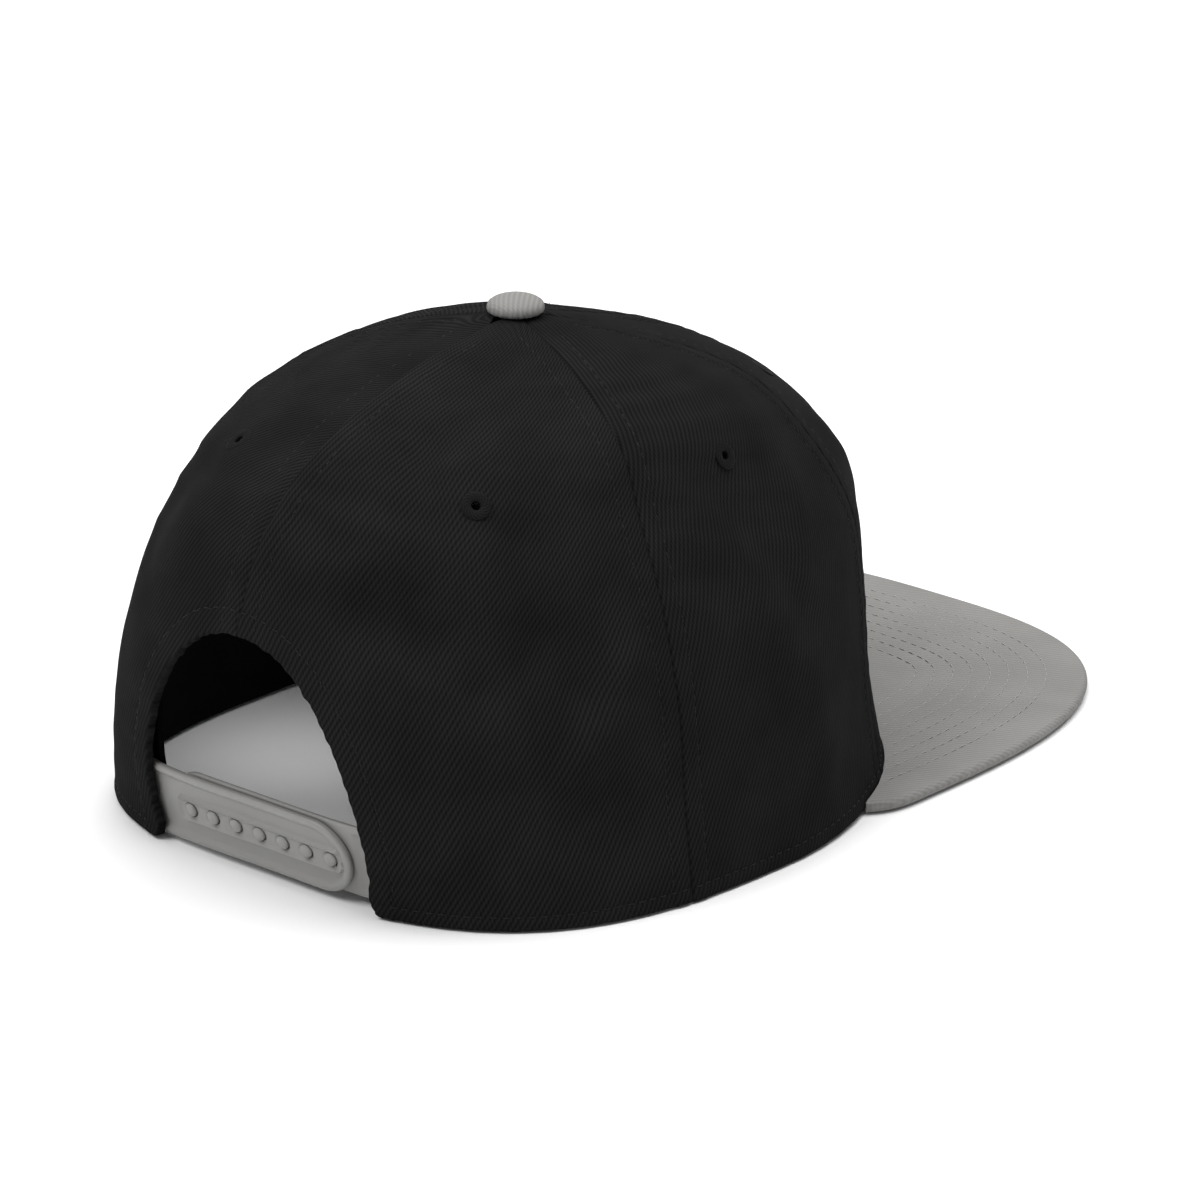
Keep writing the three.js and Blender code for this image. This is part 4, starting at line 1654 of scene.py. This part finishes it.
@dataclass
class Closure:
    """Moulded snap closure: the outer strap with holes, the inner strap with pegs."""

    form: CrownForm
    place: Place
    height: float = 19.4
    foot: float = 0.6
    plate: float = 1.2
    relief: float = 0.5
    gap: float = 0.3
    flattening: float = 1.2
    arch_foot: float = 34.6
    tab: float = 8.0
    rounding: float = 11.0
    outer_end: float = -29.0
    inner_end: float = 31.5
    rim: float = 2.8
    sunk: float = 0.85
    plateau_half: float = 3.3
    plateau_margin: float = 4.4
    first_peg: float = 23.6
    pitch: float = 7.8
    count: int = 7
    hole: float = 1.85
    shank: float = 1.35
    head: float = 1.78
    head_height: float = 1.2
    lift: float = 0.35
    # Widest grid steps along and across, and how far the circles round a hole reach, in holes
    step: float = 0.42
    level_step: float = 0.32
    hole_reach: float = 1.6
    # Share of the half height inside which the grid's level lines stay even
    core: float = 0.52
    # Least share of the half height at a rounded end, which keeps the end from being a point
    blunt: float = 0.03
    # The plateau: where its side has risen, how deep its top lies, and its fine raised frame
    plateau_side: float = 0.45
    plateau_depth: float = 0.18
    frame: float = 0.55
    frame_at: float = 0.6
    frame_spread: float = 0.32
    plateau_end: float = 0.9
    plateau_squash: float = 1.1
    # Dish round a hole: its depth and width
    dish: float = 0.3
    dish_width: float = 0.7
    # The bead's crest stands at this share of the rim, and falls from a little past it
    crest: float = 0.45
    crest_fall: float = 1.2
    # How far the edge of each strap's face and back draws in, and over what distance
    outer_face_round: tuple[float, float] = (0.3, 0.22)
    outer_back_round: tuple[float, float] = (0.25, 0.3)
    inner_face_round: tuple[float, float] = (0.3, 0.25)
    inner_back_round: tuple[float, float] = (0.2, 0.25)
    # Length over which the inner strap's sunk field comes in past the end of the outer strap
    open_fade: float = 3.0
    # A peg: how far under the closure's face its head starts, the foot of the dome over that,
    # the lip's bevel, the height of the neck's flare, and how far the shank runs into its strap
    neck: float = 0.45
    dome_foot: float = 0.35
    lip: float = 0.12
    lip_drop: float = 0.2
    root: float = 0.4
    dome_points: int = 12
    peg_sides: int = 28

    def __post_init__(self) -> None:
        """Work out the layers' depths and the places of the pegs."""
        self.socket_back = self.relief + self.plate
        self.peg_face = self.socket_back + self.gap
        self.peg_back = self.peg_face + self.plate
        self.tab_place = self.arch_foot + self.tab
        self.pegs = self.first_peg - self.pitch * np.arange(self.count)

    def point(self, x: Array, up: Array, depth: Array) -> Array:
        """Points of the closure: across the back, up from its foot, under the crown's inside.

        Args:
            x: millimetres toward the wearer's left.
            up: height over the closure's foot.
            depth: how far under its outer face.

        Returns:
            Points in millimetres.
        """
        x, up, depth = np.broadcast_arrays(x, up, depth)
        rise = self.form.rise_at_height(self.foot + up)
        angle = self.form.angle_at_x(x, rise)
        share = np.clip(np.abs(x) / self.arch_foot, 0, 1)
        flat = self.flattening * (1 - share ** 2)
        away = -self.form.wall - self.gap - depth - flat
        return self.form.plain(angle, rise) + self.form.normal(angle, rise) * away[..., None]

    def inside(self, along: Array, level: Array) -> Array:
        """Distance inside a bar whose end is half an ellipse.

        The ellipse's measure q is the root of u^2 + v^2, with u the share of its length and v the
        share of its half height; the distance is 1 - q over the slope of q.

        Args:
            along: distance from the rounded end.
            level: height over the bar's middle.

        Returns:
            Distances, minus outside.
        """
        half = self.height / 2
        u = np.clip(1 - along / self.rounding, 0, None)
        v = np.abs(level) / half
        measure = np.maximum(np.hypot(u, v), 1e-6)
        slope = np.hypot(u / self.rounding, v / half) / measure
        return np.minimum((1 - measure) / np.maximum(slope, 1e-6), half)

    def half_height(self, along: Array) -> Array:
        """Half height of the bar at a distance from its rounded end."""
        u = np.clip(1 - along / self.rounding, 0, 1)
        return self.height / 2 * np.maximum(np.sqrt(1 - u ** 2), self.blunt)

    def plan(self, near: float, far: float, with_holes: bool) -> tuple:
        """Grid of the strap laid flat, with lines that close to circles round the holes.

        Lines pass through the sides of a square about each hole. A point's offset from the hole
        keeps its direction, and its length goes from the square's measure at the hole's edge to
        its own a little further out.

        Args:
            near: the strap's rounded end.
            far: its other end.
            with_holes: whether the holes are cut.

        Returns:
            Places across, heights over the middle, and which faces exist.
        """
        sign = 1 if far > near else -1
        length = abs(far - near)
        stops = [0.0, 0.05, 0.25, 0.6, 1.1, 1.8, 2.6, 3.4, length]
        reach = self.hole * self.hole_reach
        if with_holes:
            for peg in self.pegs:
                middle = sign * (peg - near)
                stops += [middle - self.hole, middle + self.hole]
        along = lines_through(sorted(stops), self.step)
        inner = self.height / 2 * self.core
        edges = self.height / 2 - np.array([2.4, 1.6, 0.9, 0.5, 0.2, 0.0])
        upper = [self.hole, inner, *edges]
        level = lines_through([-stop for stop in reversed(upper)] + upper, self.level_step)
        half = self.half_height(along)
        core = np.minimum(inner, 0.6 * half)[:, None]
        size = np.abs(level)[None, :]
        outside = core + (size - inner) * (half[:, None] - core) / (self.height / 2 - inner)
        level = np.sign(level) * np.where(size <= inner, size * core / inner, outside)
        x = near + sign * np.repeat(along[:, None], level.shape[1], axis=1)
        keep = np.ones((x.shape[0] - 1, x.shape[1] - 1), bool)
        if with_holes:
            for peg in self.pegs:
                dx, dz = x - peg, level
                square = np.maximum(np.abs(dx), np.abs(dz))
                own = np.maximum(np.hypot(dx, dz), 1e-9)
                blend = 1 - smoothstep(square, self.hole, reach)
                scale = (square * blend + own * (1 - blend)) / own
                centre = np.maximum(np.abs(dx[:-1, :-1] + dx[1:, 1:]),
                                    np.abs(dz[:-1, :-1] + dz[1:, 1:])) / 2
                keep &= centre > self.hole
                x, level = peg + dx * scale, dz * scale
        return x, level, keep

    def outer_strap(self) -> bpy.types.Object:
        """Make the strap with holes.

        Its face is a height map: a rounded bead all round, a field below it, and a plateau with a
        fine raised frame that carries the holes.

        Returns:
            The strap.
        """
        x, level, keep = self.plan(self.outer_end, self.tab_place, with_holes=True)
        away = self.inside(x - self.outer_end, level)
        field_depth = self.sunk * (1 - self.bead(away))
        step = self.plateau(x, level)
        raised = smoothstep(step, 0.0, self.plateau_side)
        frame = self.frame * bell(step, self.frame_at, self.frame_spread)
        depth = field_depth * (1 - raised) + raised * (self.plateau_depth - frame)
        nearest = np.min([np.hypot(x - peg, level) for peg in self.pegs], axis=0)
        depth += self.dish * (1 - smoothstep(nearest, self.hole, self.hole + self.dish_width))
        depth += self.drawn_in(away, self.outer_face_round)
        back = self.socket_back - self.drawn_in(away, self.outer_back_round)
        up = level + self.height / 2
        cloth = np.stack([x, up], axis=-1) * MM
        wall = shell(self.point(x, up, depth), self.point(x, up, back), cloth, keep)
        return self.place.mesh("snap_strap_sockets_moulding", wall, PLASTIC_SHARP)

    def drawn_in(self, away: Array, size: tuple[float, float]) -> Array:
        """How far a side draws in at its edge: a half bell of one height and one width."""
        return size[0] * bell(away, 0.0, size[1])

    def bead(self, away: Array) -> Array:
        """Height of the rounded bead along the edge, 1 on its crest and 0 in the field.

        Args:
            away: distance inside the edge.

        Returns:
            Heights from 0 to 1.
        """
        crest = self.rim * self.crest
        rising = np.sqrt(np.clip(1 - 0.5 * ((away - crest) / crest) ** 2, 0, 1))
        falling = 1 - smoothstep(away, crest * self.crest_fall, self.rim)
        return np.where(away < crest, rising, falling)

    def plateau(self, x: Array, level: Array) -> Array:
        """Distance inside the raised plateau: square at the strap's root, rounded at its end.

        Args:
            x: millimetres toward the wearer's left.
            level: height over the strap's middle.

        Returns:
            Distances, minus outside.
        """
        left = self.first_peg + self.plateau_margin - x
        last = self.pegs[-1]
        flat = self.plateau_half - np.abs(level)
        right = self.plateau_half + self.plateau_end - np.hypot(
            np.minimum(x - last, 0), level * self.plateau_squash)
        return np.minimum(np.minimum(left, flat), np.where(x < last, right, flat))

    def inner_strap(self) -> bpy.types.Object:
        """Make the strap with pegs, which comes forward past the end of the outer strap.

        Returns:
            The strap.
        """
        x, level, keep = self.plan(self.inner_end, -self.tab_place, with_holes=False)
        away = self.inside(self.inner_end - x, level)
        open_part = smoothstep(self.outer_end - x, 0.0, self.open_fade)
        face = self.peg_face + self.relief * open_part * (1 - self.bead(away))
        face += self.drawn_in(away, self.inner_face_round)
        back = self.peg_back - self.drawn_in(away, self.inner_back_round)
        up = level + self.height / 2
        cloth = np.stack([x, up], axis=-1) * MM
        lifted = up + self.lift
        whole = shell(self.point(x, lifted, face), self.point(x, lifted, back), cloth, keep)
        rise = self.form.rise_at_height(np.array(self.foot + self.height / 2))
        for peg in self.pegs:
            axis = self.form.normal(self.form.angle_at_x(peg, rise), rise)
            foot = self.point(np.array(peg), np.array(self.height / 2 + self.lift),
                              np.array(self.peg_face))
            whole = whole.joined(self.peg(foot, axis))
        return self.place.mesh("snap_strap_pegs_moulding", whole, PLASTIC_SHARP)

    def peg(self, foot: Array, axis: Array) -> Cloud:
        """One peg: a shank, a lip and a domed head whose profile is a quarter of an ellipse.

        Args:
            foot: where the peg stands on its strap.
            axis: direction out of the strap.

        Returns:
            The closed peg.
        """
        neck = self.peg_face - self.neck
        turn = np.radians(np.linspace(0, 90, self.dome_points))
        dome_z = neck + self.dome_foot + (self.head_height - self.dome_foot) * np.sin(turn)
        dome = np.stack([self.head * np.cos(turn), dome_z], axis=-1)
        dome[-1, 0] = 0.0
        stem = np.array([[0.0, -self.root], [self.shank, -self.root],
                         [self.shank, neck - self.lip_drop],
                         [self.head - self.lip, neck], [self.head, neck + self.lip]])
        return turned(np.concatenate([stem, dome]), self.peg_sides, foot, axis)


# Finishes


# A wave texture's bands repeat every 2 pi / 20 units at scale 1
WAVE_PERIOD = 2 * math.pi / 20


def linear(code: str) -> tuple[float, float, float, float]:
    """Colour of an sRGB hex code in linear light.

    Args:
        code: a mark and six digits.

    Returns:
        Red, green, blue and 1.
    """
    parts = np.array([int(code[k:k + 2], 16) for k in (1, 3, 5)]) / 255
    light = np.where(parts <= 0.04045, parts / 12.92, ((parts + 0.055) / 1.055) ** 2.4)
    return (*[float(part) for part in light], 1.0)


def connect(tree: bpy.types.NodeTree, node: bpy.types.Node, links: dict) -> None:
    """Set a node's inputs, or join them to other nodes.

    Args:
        tree: the node tree.
        node: whose inputs they are.
        links: for each input, a value, or a pair of a node and its output's name.
    """
    for name, value in links.items():
        socket = node.inputs[name]
        if isinstance(value, tuple) and isinstance(value[0], bpy.types.Node):
            tree.links.new(value[0].outputs[value[1]], socket)
        else:
            socket.default_value = value


def bands(tree: bpy.types.NodeTree, source: tuple, length_mm: float, direction: str,
          distortion: float = 0.0) -> bpy.types.Node:
    """Add soft bands.

    Args:
        tree: the node tree.
        source: where the coordinates come from.
        length_mm: from one band to the next.
        direction: X or DIAGONAL.
        distortion: how uneven they are.

    Returns:
        The node.
    """
    return add(tree, "TexWave", {"Vector": source, "Scale": WAVE_PERIOD / (length_mm * MM),
                                 "Distortion": distortion},
               wave_type="BANDS", bands_direction=direction, wave_profile="SIN")


def add(tree: bpy.types.NodeTree, kind: str, links: dict | None = None,
        **settings: object) -> bpy.types.Node:
    """Add a node with its settings and links.

    Args:
        tree: the node tree.
        kind: the node's type without the words ShaderNode.
        links: for each input, a value, or a pair of a node and its output's name.
        settings: the node's own properties.

    Returns:
        The node.
    """
    node = tree.nodes.new(f"ShaderNode{kind}")
    for name, value in settings.items():
        setattr(node, name, value)
    connect(tree, node, links or {})
    return node


def blank(name: str) -> tuple[bpy.types.Material, bpy.types.NodeTree, bpy.types.Node]:
    """New material with its node tree and its surface shader.

    Args:
        name: the material's name.

    Returns:
        The material, the tree and the shader.
    """
    made = bpy.data.materials.new(name)
    made.use_nodes = True
    return made, made.node_tree, made.node_tree.nodes["Principled BSDF"]


@dataclass(frozen=True)
class Twill:
    """Cotton twill, woven: matte diagonal ribs of soft yarn with a trace of fuzz."""

    name: str
    yarn: str
    # Colour of the ribs' valleys: the cloth's own dark tone, made darker still as painted shade in
    # the grooves
    valley_painted_shade: str
    rib_mm: float = 1.2
    float_mm: float = 0.62
    relief_mm: float = 0.13
    mottle: float = 0.16
    roughness: float = 1.0
    gloss: float = 0.04

    def material(self) -> bpy.types.Material:
        """Build the ribs, the floats that break them up, painted shade in the valleys, the mottled
        dye and the bump.

        Returns:
            The material.
        """
        made, tree, shader = blank(self.name)
        cloth = add(tree, "UVMap", uv_map="cloth")
        wobble = add(tree, "TexNoise", {"Vector": (cloth, "UV"), "Scale": 160.0, "Detail": 2.0})
        shift = add(tree, "VectorMath", {0: (wobble, "Color"), 1: (0.00035, 0.00035, 0.0)},
                    operation="MULTIPLY")
        bent = add(tree, "VectorMath", {0: (cloth, "UV"), 1: (shift, "Vector")}, operation="ADD")
        rib = bands(tree, (bent, "Vector"), self.rib_mm, "X")
        floats = bands(tree, (bent, "Vector"), self.float_mm, "DIAGONAL")
        fuzz = add(tree, "TexNoise", {"Vector": (cloth, "UV"), "Scale": 2600.0, "Detail": 2.0})
        soft = add(tree, "Mix", {"Factor": 0.3, "A": (rib, "Fac"), "B": (floats, "Fac")},
                   data_type="FLOAT")
        height = add(tree, "Mix", {"Factor": 0.18, "A": (soft, "Result"), "B": (fuzz, "Fac")},
                     data_type="FLOAT")
        patches = add(tree, "TexNoise", {"Vector": (cloth, "UV"), "Scale": 45.0, "Detail": 3.0})
        worn = add(tree, "MapRange", {"Value": (patches, "Fac"), "From Min": 0.35,
                                      "From Max": 0.65, "To Min": 1 - self.mottle,
                                      "To Max": 1 + self.mottle})
        # Darker toward the valleys as the ribs' height falls: painted shade in the grooves between
        # ribs, over the yarn's own colour
        colour = add(tree, "Mix", {"Factor": (height, "Result"), "A": linear(self.valley_painted_shade),
                                   "B": linear(self.yarn)}, data_type="RGBA")
        shaded = add(tree, "Mix", {"Factor": 1.0, "A": (colour, "Result"),
                                   "B": (worn, "Result")}, data_type="RGBA",
                     blend_type="MULTIPLY")
        bump = add(tree, "Bump", {"Height": (height, "Result"), "Strength": 1.0,
                                  "Distance": self.relief_mm * MM})
        connect(tree, shader, {"Base Color": (shaded, "Result"), "Normal": (bump, "Normal"),
                               "Roughness": self.roughness, "Specular IOR Level": self.gloss})
        return made


@dataclass(frozen=True)
class Thread:
    """Polyester sewing thread, twisted: a soft gloss and slanting plies."""

    name: str
    colour: str
    # Darker colour for the dips between the plies: painted shade
    shade: str
    ply_mm: float = 0.45
    roughness: float = 0.6
    gloss: float = 0.3

    def material(self) -> bpy.types.Material:
        """Build the plies as slanting bands, with painted shade in the dips between them.

        Returns:
            The material.
        """
        made, tree, shader = blank(self.name)
        cloth = add(tree, "UVMap", uv_map="cloth")
        plies = bands(tree, (cloth, "UV"), self.ply_mm, "DIAGONAL", distortion=0.6)
        # The darker colour follows the plies' bump down into the dips: painted shade between the
        # plies
        colour = add(tree, "Mix", {"Factor": (plies, "Fac"), "A": linear(self.shade),
                                   "B": linear(self.colour)}, data_type="RGBA")
        bump = add(tree, "Bump", {"Height": (plies, "Fac"), "Strength": 0.7,
                                  "Distance": 0.05 * MM})
        connect(tree, shader, {"Base Color": (colour, "Result"), "Normal": (bump, "Normal"),
                               "Roughness": self.roughness, "Specular IOR Level": self.gloss})
        return made


@dataclass(frozen=True)
class Moulding:
    """Polyethylene, injection moulded: even colour, fine texture from the mould, soft gloss."""

    name: str
    colour: str
    shade: str
    grain_mm: float = 0.35
    roughness: float = 0.42

    def material(self) -> bpy.types.Material:
        """Build the mould's grain and the faint flow marks.

        Returns:
            The material.
        """
        made, tree, shader = blank(self.name)
        place = add(tree, "TexCoord")
        grain = add(tree, "TexNoise", {"Vector": (place, "Object"), "Detail": 3.0,
                                       "Scale": 1 / (self.grain_mm * MM)})
        flow = add(tree, "TexNoise", {"Vector": (place, "Object"), "Scale": 90.0, "Detail": 2.0})
        colour = add(tree, "Mix", {"Factor": (flow, "Fac"), "A": linear(self.shade),
                                   "B": linear(self.colour)}, data_type="RGBA")
        rough = add(tree, "MapRange", {"Value": (grain, "Fac"), "To Min": self.roughness - 0.06,
                                       "To Max": self.roughness + 0.1})
        bump = add(tree, "Bump", {"Height": (grain, "Fac"), "Strength": 0.35,
                                  "Distance": 0.05 * MM})
        connect(tree, shader, {"Base Color": (colour, "Result"), "Roughness": (rough, "Result"),
                               "Normal": (bump, "Normal"), "IOR": 1.5})
        return made


@dataclass(frozen=True)
class Paper:
    """Studio floor, painted: pale, even and matte."""

    name: str
    colour: str

    def material(self) -> bpy.types.Material:
        """Build the plain floor.

        Returns:
            The material.
        """
        made, tree, shader = blank(self.name)
        connect(tree, shader, {"Base Color": linear(self.colour), "Roughness": 0.9,
                               "Specular IOR Level": 0.1})
        return made


# Studio


@dataclass
class Studio:
    """Camera, floor and soft lights."""

    place: Place
    azimuth: float = 222.0
    elevation: float = 20.25
    distance: float = 1638.3
    aim_right: float = 19.21
    aim_up: float = 42.59
    lens: float = 199.71
    sensor: float = 36.0
    background: float = 0.38
    overhead: float = 28.0
    key: float = 20.0
    hollow_fill: float = 0.0097
    # The lamp inside the crown, in metres and degrees
    fill_x: float = 0.05
    fill_y: float = 0.03
    fill_height: float = 0.05
    fill_size: float = 0.05
    fill_spread: float = 150.0
    floor_reach: float = 6.0
    floor_level: float = -0.0004

    def aim(self) -> tuple[Array, Array, Array]:
        """Camera's right, up and back directions.

        Returns:
            Three vectors of length 1.
        """
        turn, tilt = math.radians(self.azimuth), math.radians(self.elevation)
        back = np.array([math.sin(turn) * math.cos(tilt), -math.cos(turn) * math.cos(tilt),
                         math.sin(tilt)])
        right = unit(np.cross(-back, [0.0, 0.0, 1.0]))
        return right, np.cross(back, right), back

    def camera(self) -> None:
        """Put the camera at the photograph's angle, aimed at the middle of its frame."""
        right, up, back = self.aim()
        target = right * self.aim_right + up * self.aim_up
        spot = (target + back * self.distance) * MM + np.array([0.0, self.place.middle_y, 0.0])
        data = bpy.data.cameras.new("camera")
        data.lens, data.sensor_width = self.lens, self.sensor
        data.clip_end = 20.0
        made = bpy.data.objects.new("camera", data)
        matrix = Matrix(np.stack([right, up, back], axis=1).tolist()).to_4x4()
        matrix.translation = Vector(spot)
        made.matrix_world = matrix
        bpy.context.scene.collection.objects.link(made)
        bpy.context.scene.camera = made

    def light(self, name: str, spot: tuple, size: float, power: float,
              aim: tuple = (0.0, 0.0, 0.05)) -> bpy.types.Object:
        """Add a square soft light.

        Args:
            name: the light's name.
            spot: where it is, in metres.
            size: length of its side.
            power: watts.
            aim: the place that it faces.

        Returns:
            The light.
        """
        data = bpy.data.lights.new(name, "AREA")
        data.shape, data.size, data.energy = "SQUARE", size, power
        made = bpy.data.objects.new(name, data)
        toward = Vector(aim) - Vector(spot)
        made.rotation_euler = toward.to_track_quat("-Z", "Y").to_euler()
        made.location = spot
        bpy.context.scene.collection.objects.link(made)
        return made

    def fill_hollow(self) -> None:
        """Light the floor inside the crown, which the photograph shows pale through the arch."""
        x, y = self.fill_x, self.place.middle_y + self.fill_y
        fill = self.light("hollow_fill", (x, y, self.fill_height), self.fill_size,
                          self.hollow_fill, (x, y, 0.0))
        fill.data.spread = math.radians(self.fill_spread)
        fill.visible_camera = False

    def build(self) -> None:
        """Make the floor, the lights and the camera."""
        mesh = bpy.data.meshes.new("floor")
        reach, level = self.floor_reach, self.floor_level
        mesh.from_pydata([(-reach, -reach, level), (reach, -reach, level), (reach, reach, level),
                          (-reach, reach, level)], [], [(0, 1, 2, 3)])
        floor = bpy.data.objects.new("floor", mesh)
        bpy.context.scene.collection.objects.link(floor)
        mesh.materials.append(Paper("painted_studio_floor", "#f4f4f4").material())
        world = bpy.data.worlds.new("studio")
        bpy.context.scene.world = world
        world.use_nodes = True
        world.node_tree.nodes["Background"].inputs["Color"].default_value = (1, 1, 1, 1)
        world.node_tree.nodes["Background"].inputs["Strength"].default_value = self.background
        self.light("overhead_softbox", (0.0, -0.3, 1.5), 1.6, self.overhead)
        self.light("key_softbox", (0.35, 1.25, 1.6), 1.0, self.key)
        self.fill_hollow()
        bpy.context.scene.view_settings.view_transform = "Standard"
        self.camera()


def main() -> None:
    """Build the cap's sub-assemblies in order and report each piece."""
    logging.basicConfig(level=logging.INFO, format="%(name)s: %(message)s")
    low, high = (np.array(corner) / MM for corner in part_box("crown_button"))
    lean = CrownForm.lean
    place = Place(middle_y=float((low[1] + high[1]) / 2 - lean) * MM)
    side = np.array(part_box("panel_side_left")[1]) / MM
    form = CrownForm(half_width=float(side[0]))
    Studio(place).build()

    # In each twill and thread below, the second colour is the darker one for the grooves between
    # ribs or plies: painted shade
    twill = Twill("black_cotton_twill_woven", "#232323", "#0d0d0d").material()
    pale = Twill("grey_cotton_twill_woven", "#8d8c8a", "#7a7977", rib_mm=1.3, relief_mm=0.12,
                 mottle=0.05).material()
    thread = Thread("black_polyester_thread_twisted", "#222222", "#121212", gloss=0.14).material()
    vent_thread = Thread("black_rayon_thread_embroidered", "#171717", "#0e0e0e",
                         gloss=0.06).material()
    grey_thread = Thread("grey_polyester_thread_twisted", "#a09f9d", "#939290").material()
    band = Twill("black_cotton_band_woven", "#0e0e0e", "#060606", rib_mm=0.8,
                 relief_mm=0.06).material()
    plastic = Moulding("grey_polyethylene_moulded", "#8b8a88", "#848381").material()

    crown = Crown(form, place)
    for panel in PANELS:
        dress(crown.wall(panel), twill, "black_twill", panel.node)
    dress(crown.topstitching(), thread, "black_twill")
    ring = ThreadRing()
    for seed, vent in enumerate(crown.vents):
        axis = form.normal(vent.angle, vent.rise)
        surface = ring.surface(crown.vent_foot(vent), axis, seed)
        piece = place.mesh(f"{vent.node}_thread", surface)
        dress(piece, vent_thread, "eyelet_thread", vent.node)

    visor = Visor(form, place)
    dress(visor.cover(), pale, "grey_twill", "visor")
    dress(visor.lining(), pale, "grey_twill", "visor_underside")
    dress(visor.stitching(), grey_thread, "grey_twill")
    dress(Button(form, place, top=float(high[2])).piece(), pale, "grey_twill", "crown_button")
    dress(Sweatband(form, place).piece(), band, "black_band", "sweatband")
    closure = Closure(form, place)
    dress(closure.outer_strap(), plastic, "grey_plastic", "snap_strap_sockets")
    dress(closure.inner_strap(), plastic, "grey_plastic", "snap_strap_pegs")


if __name__ == "__main__":
    main()
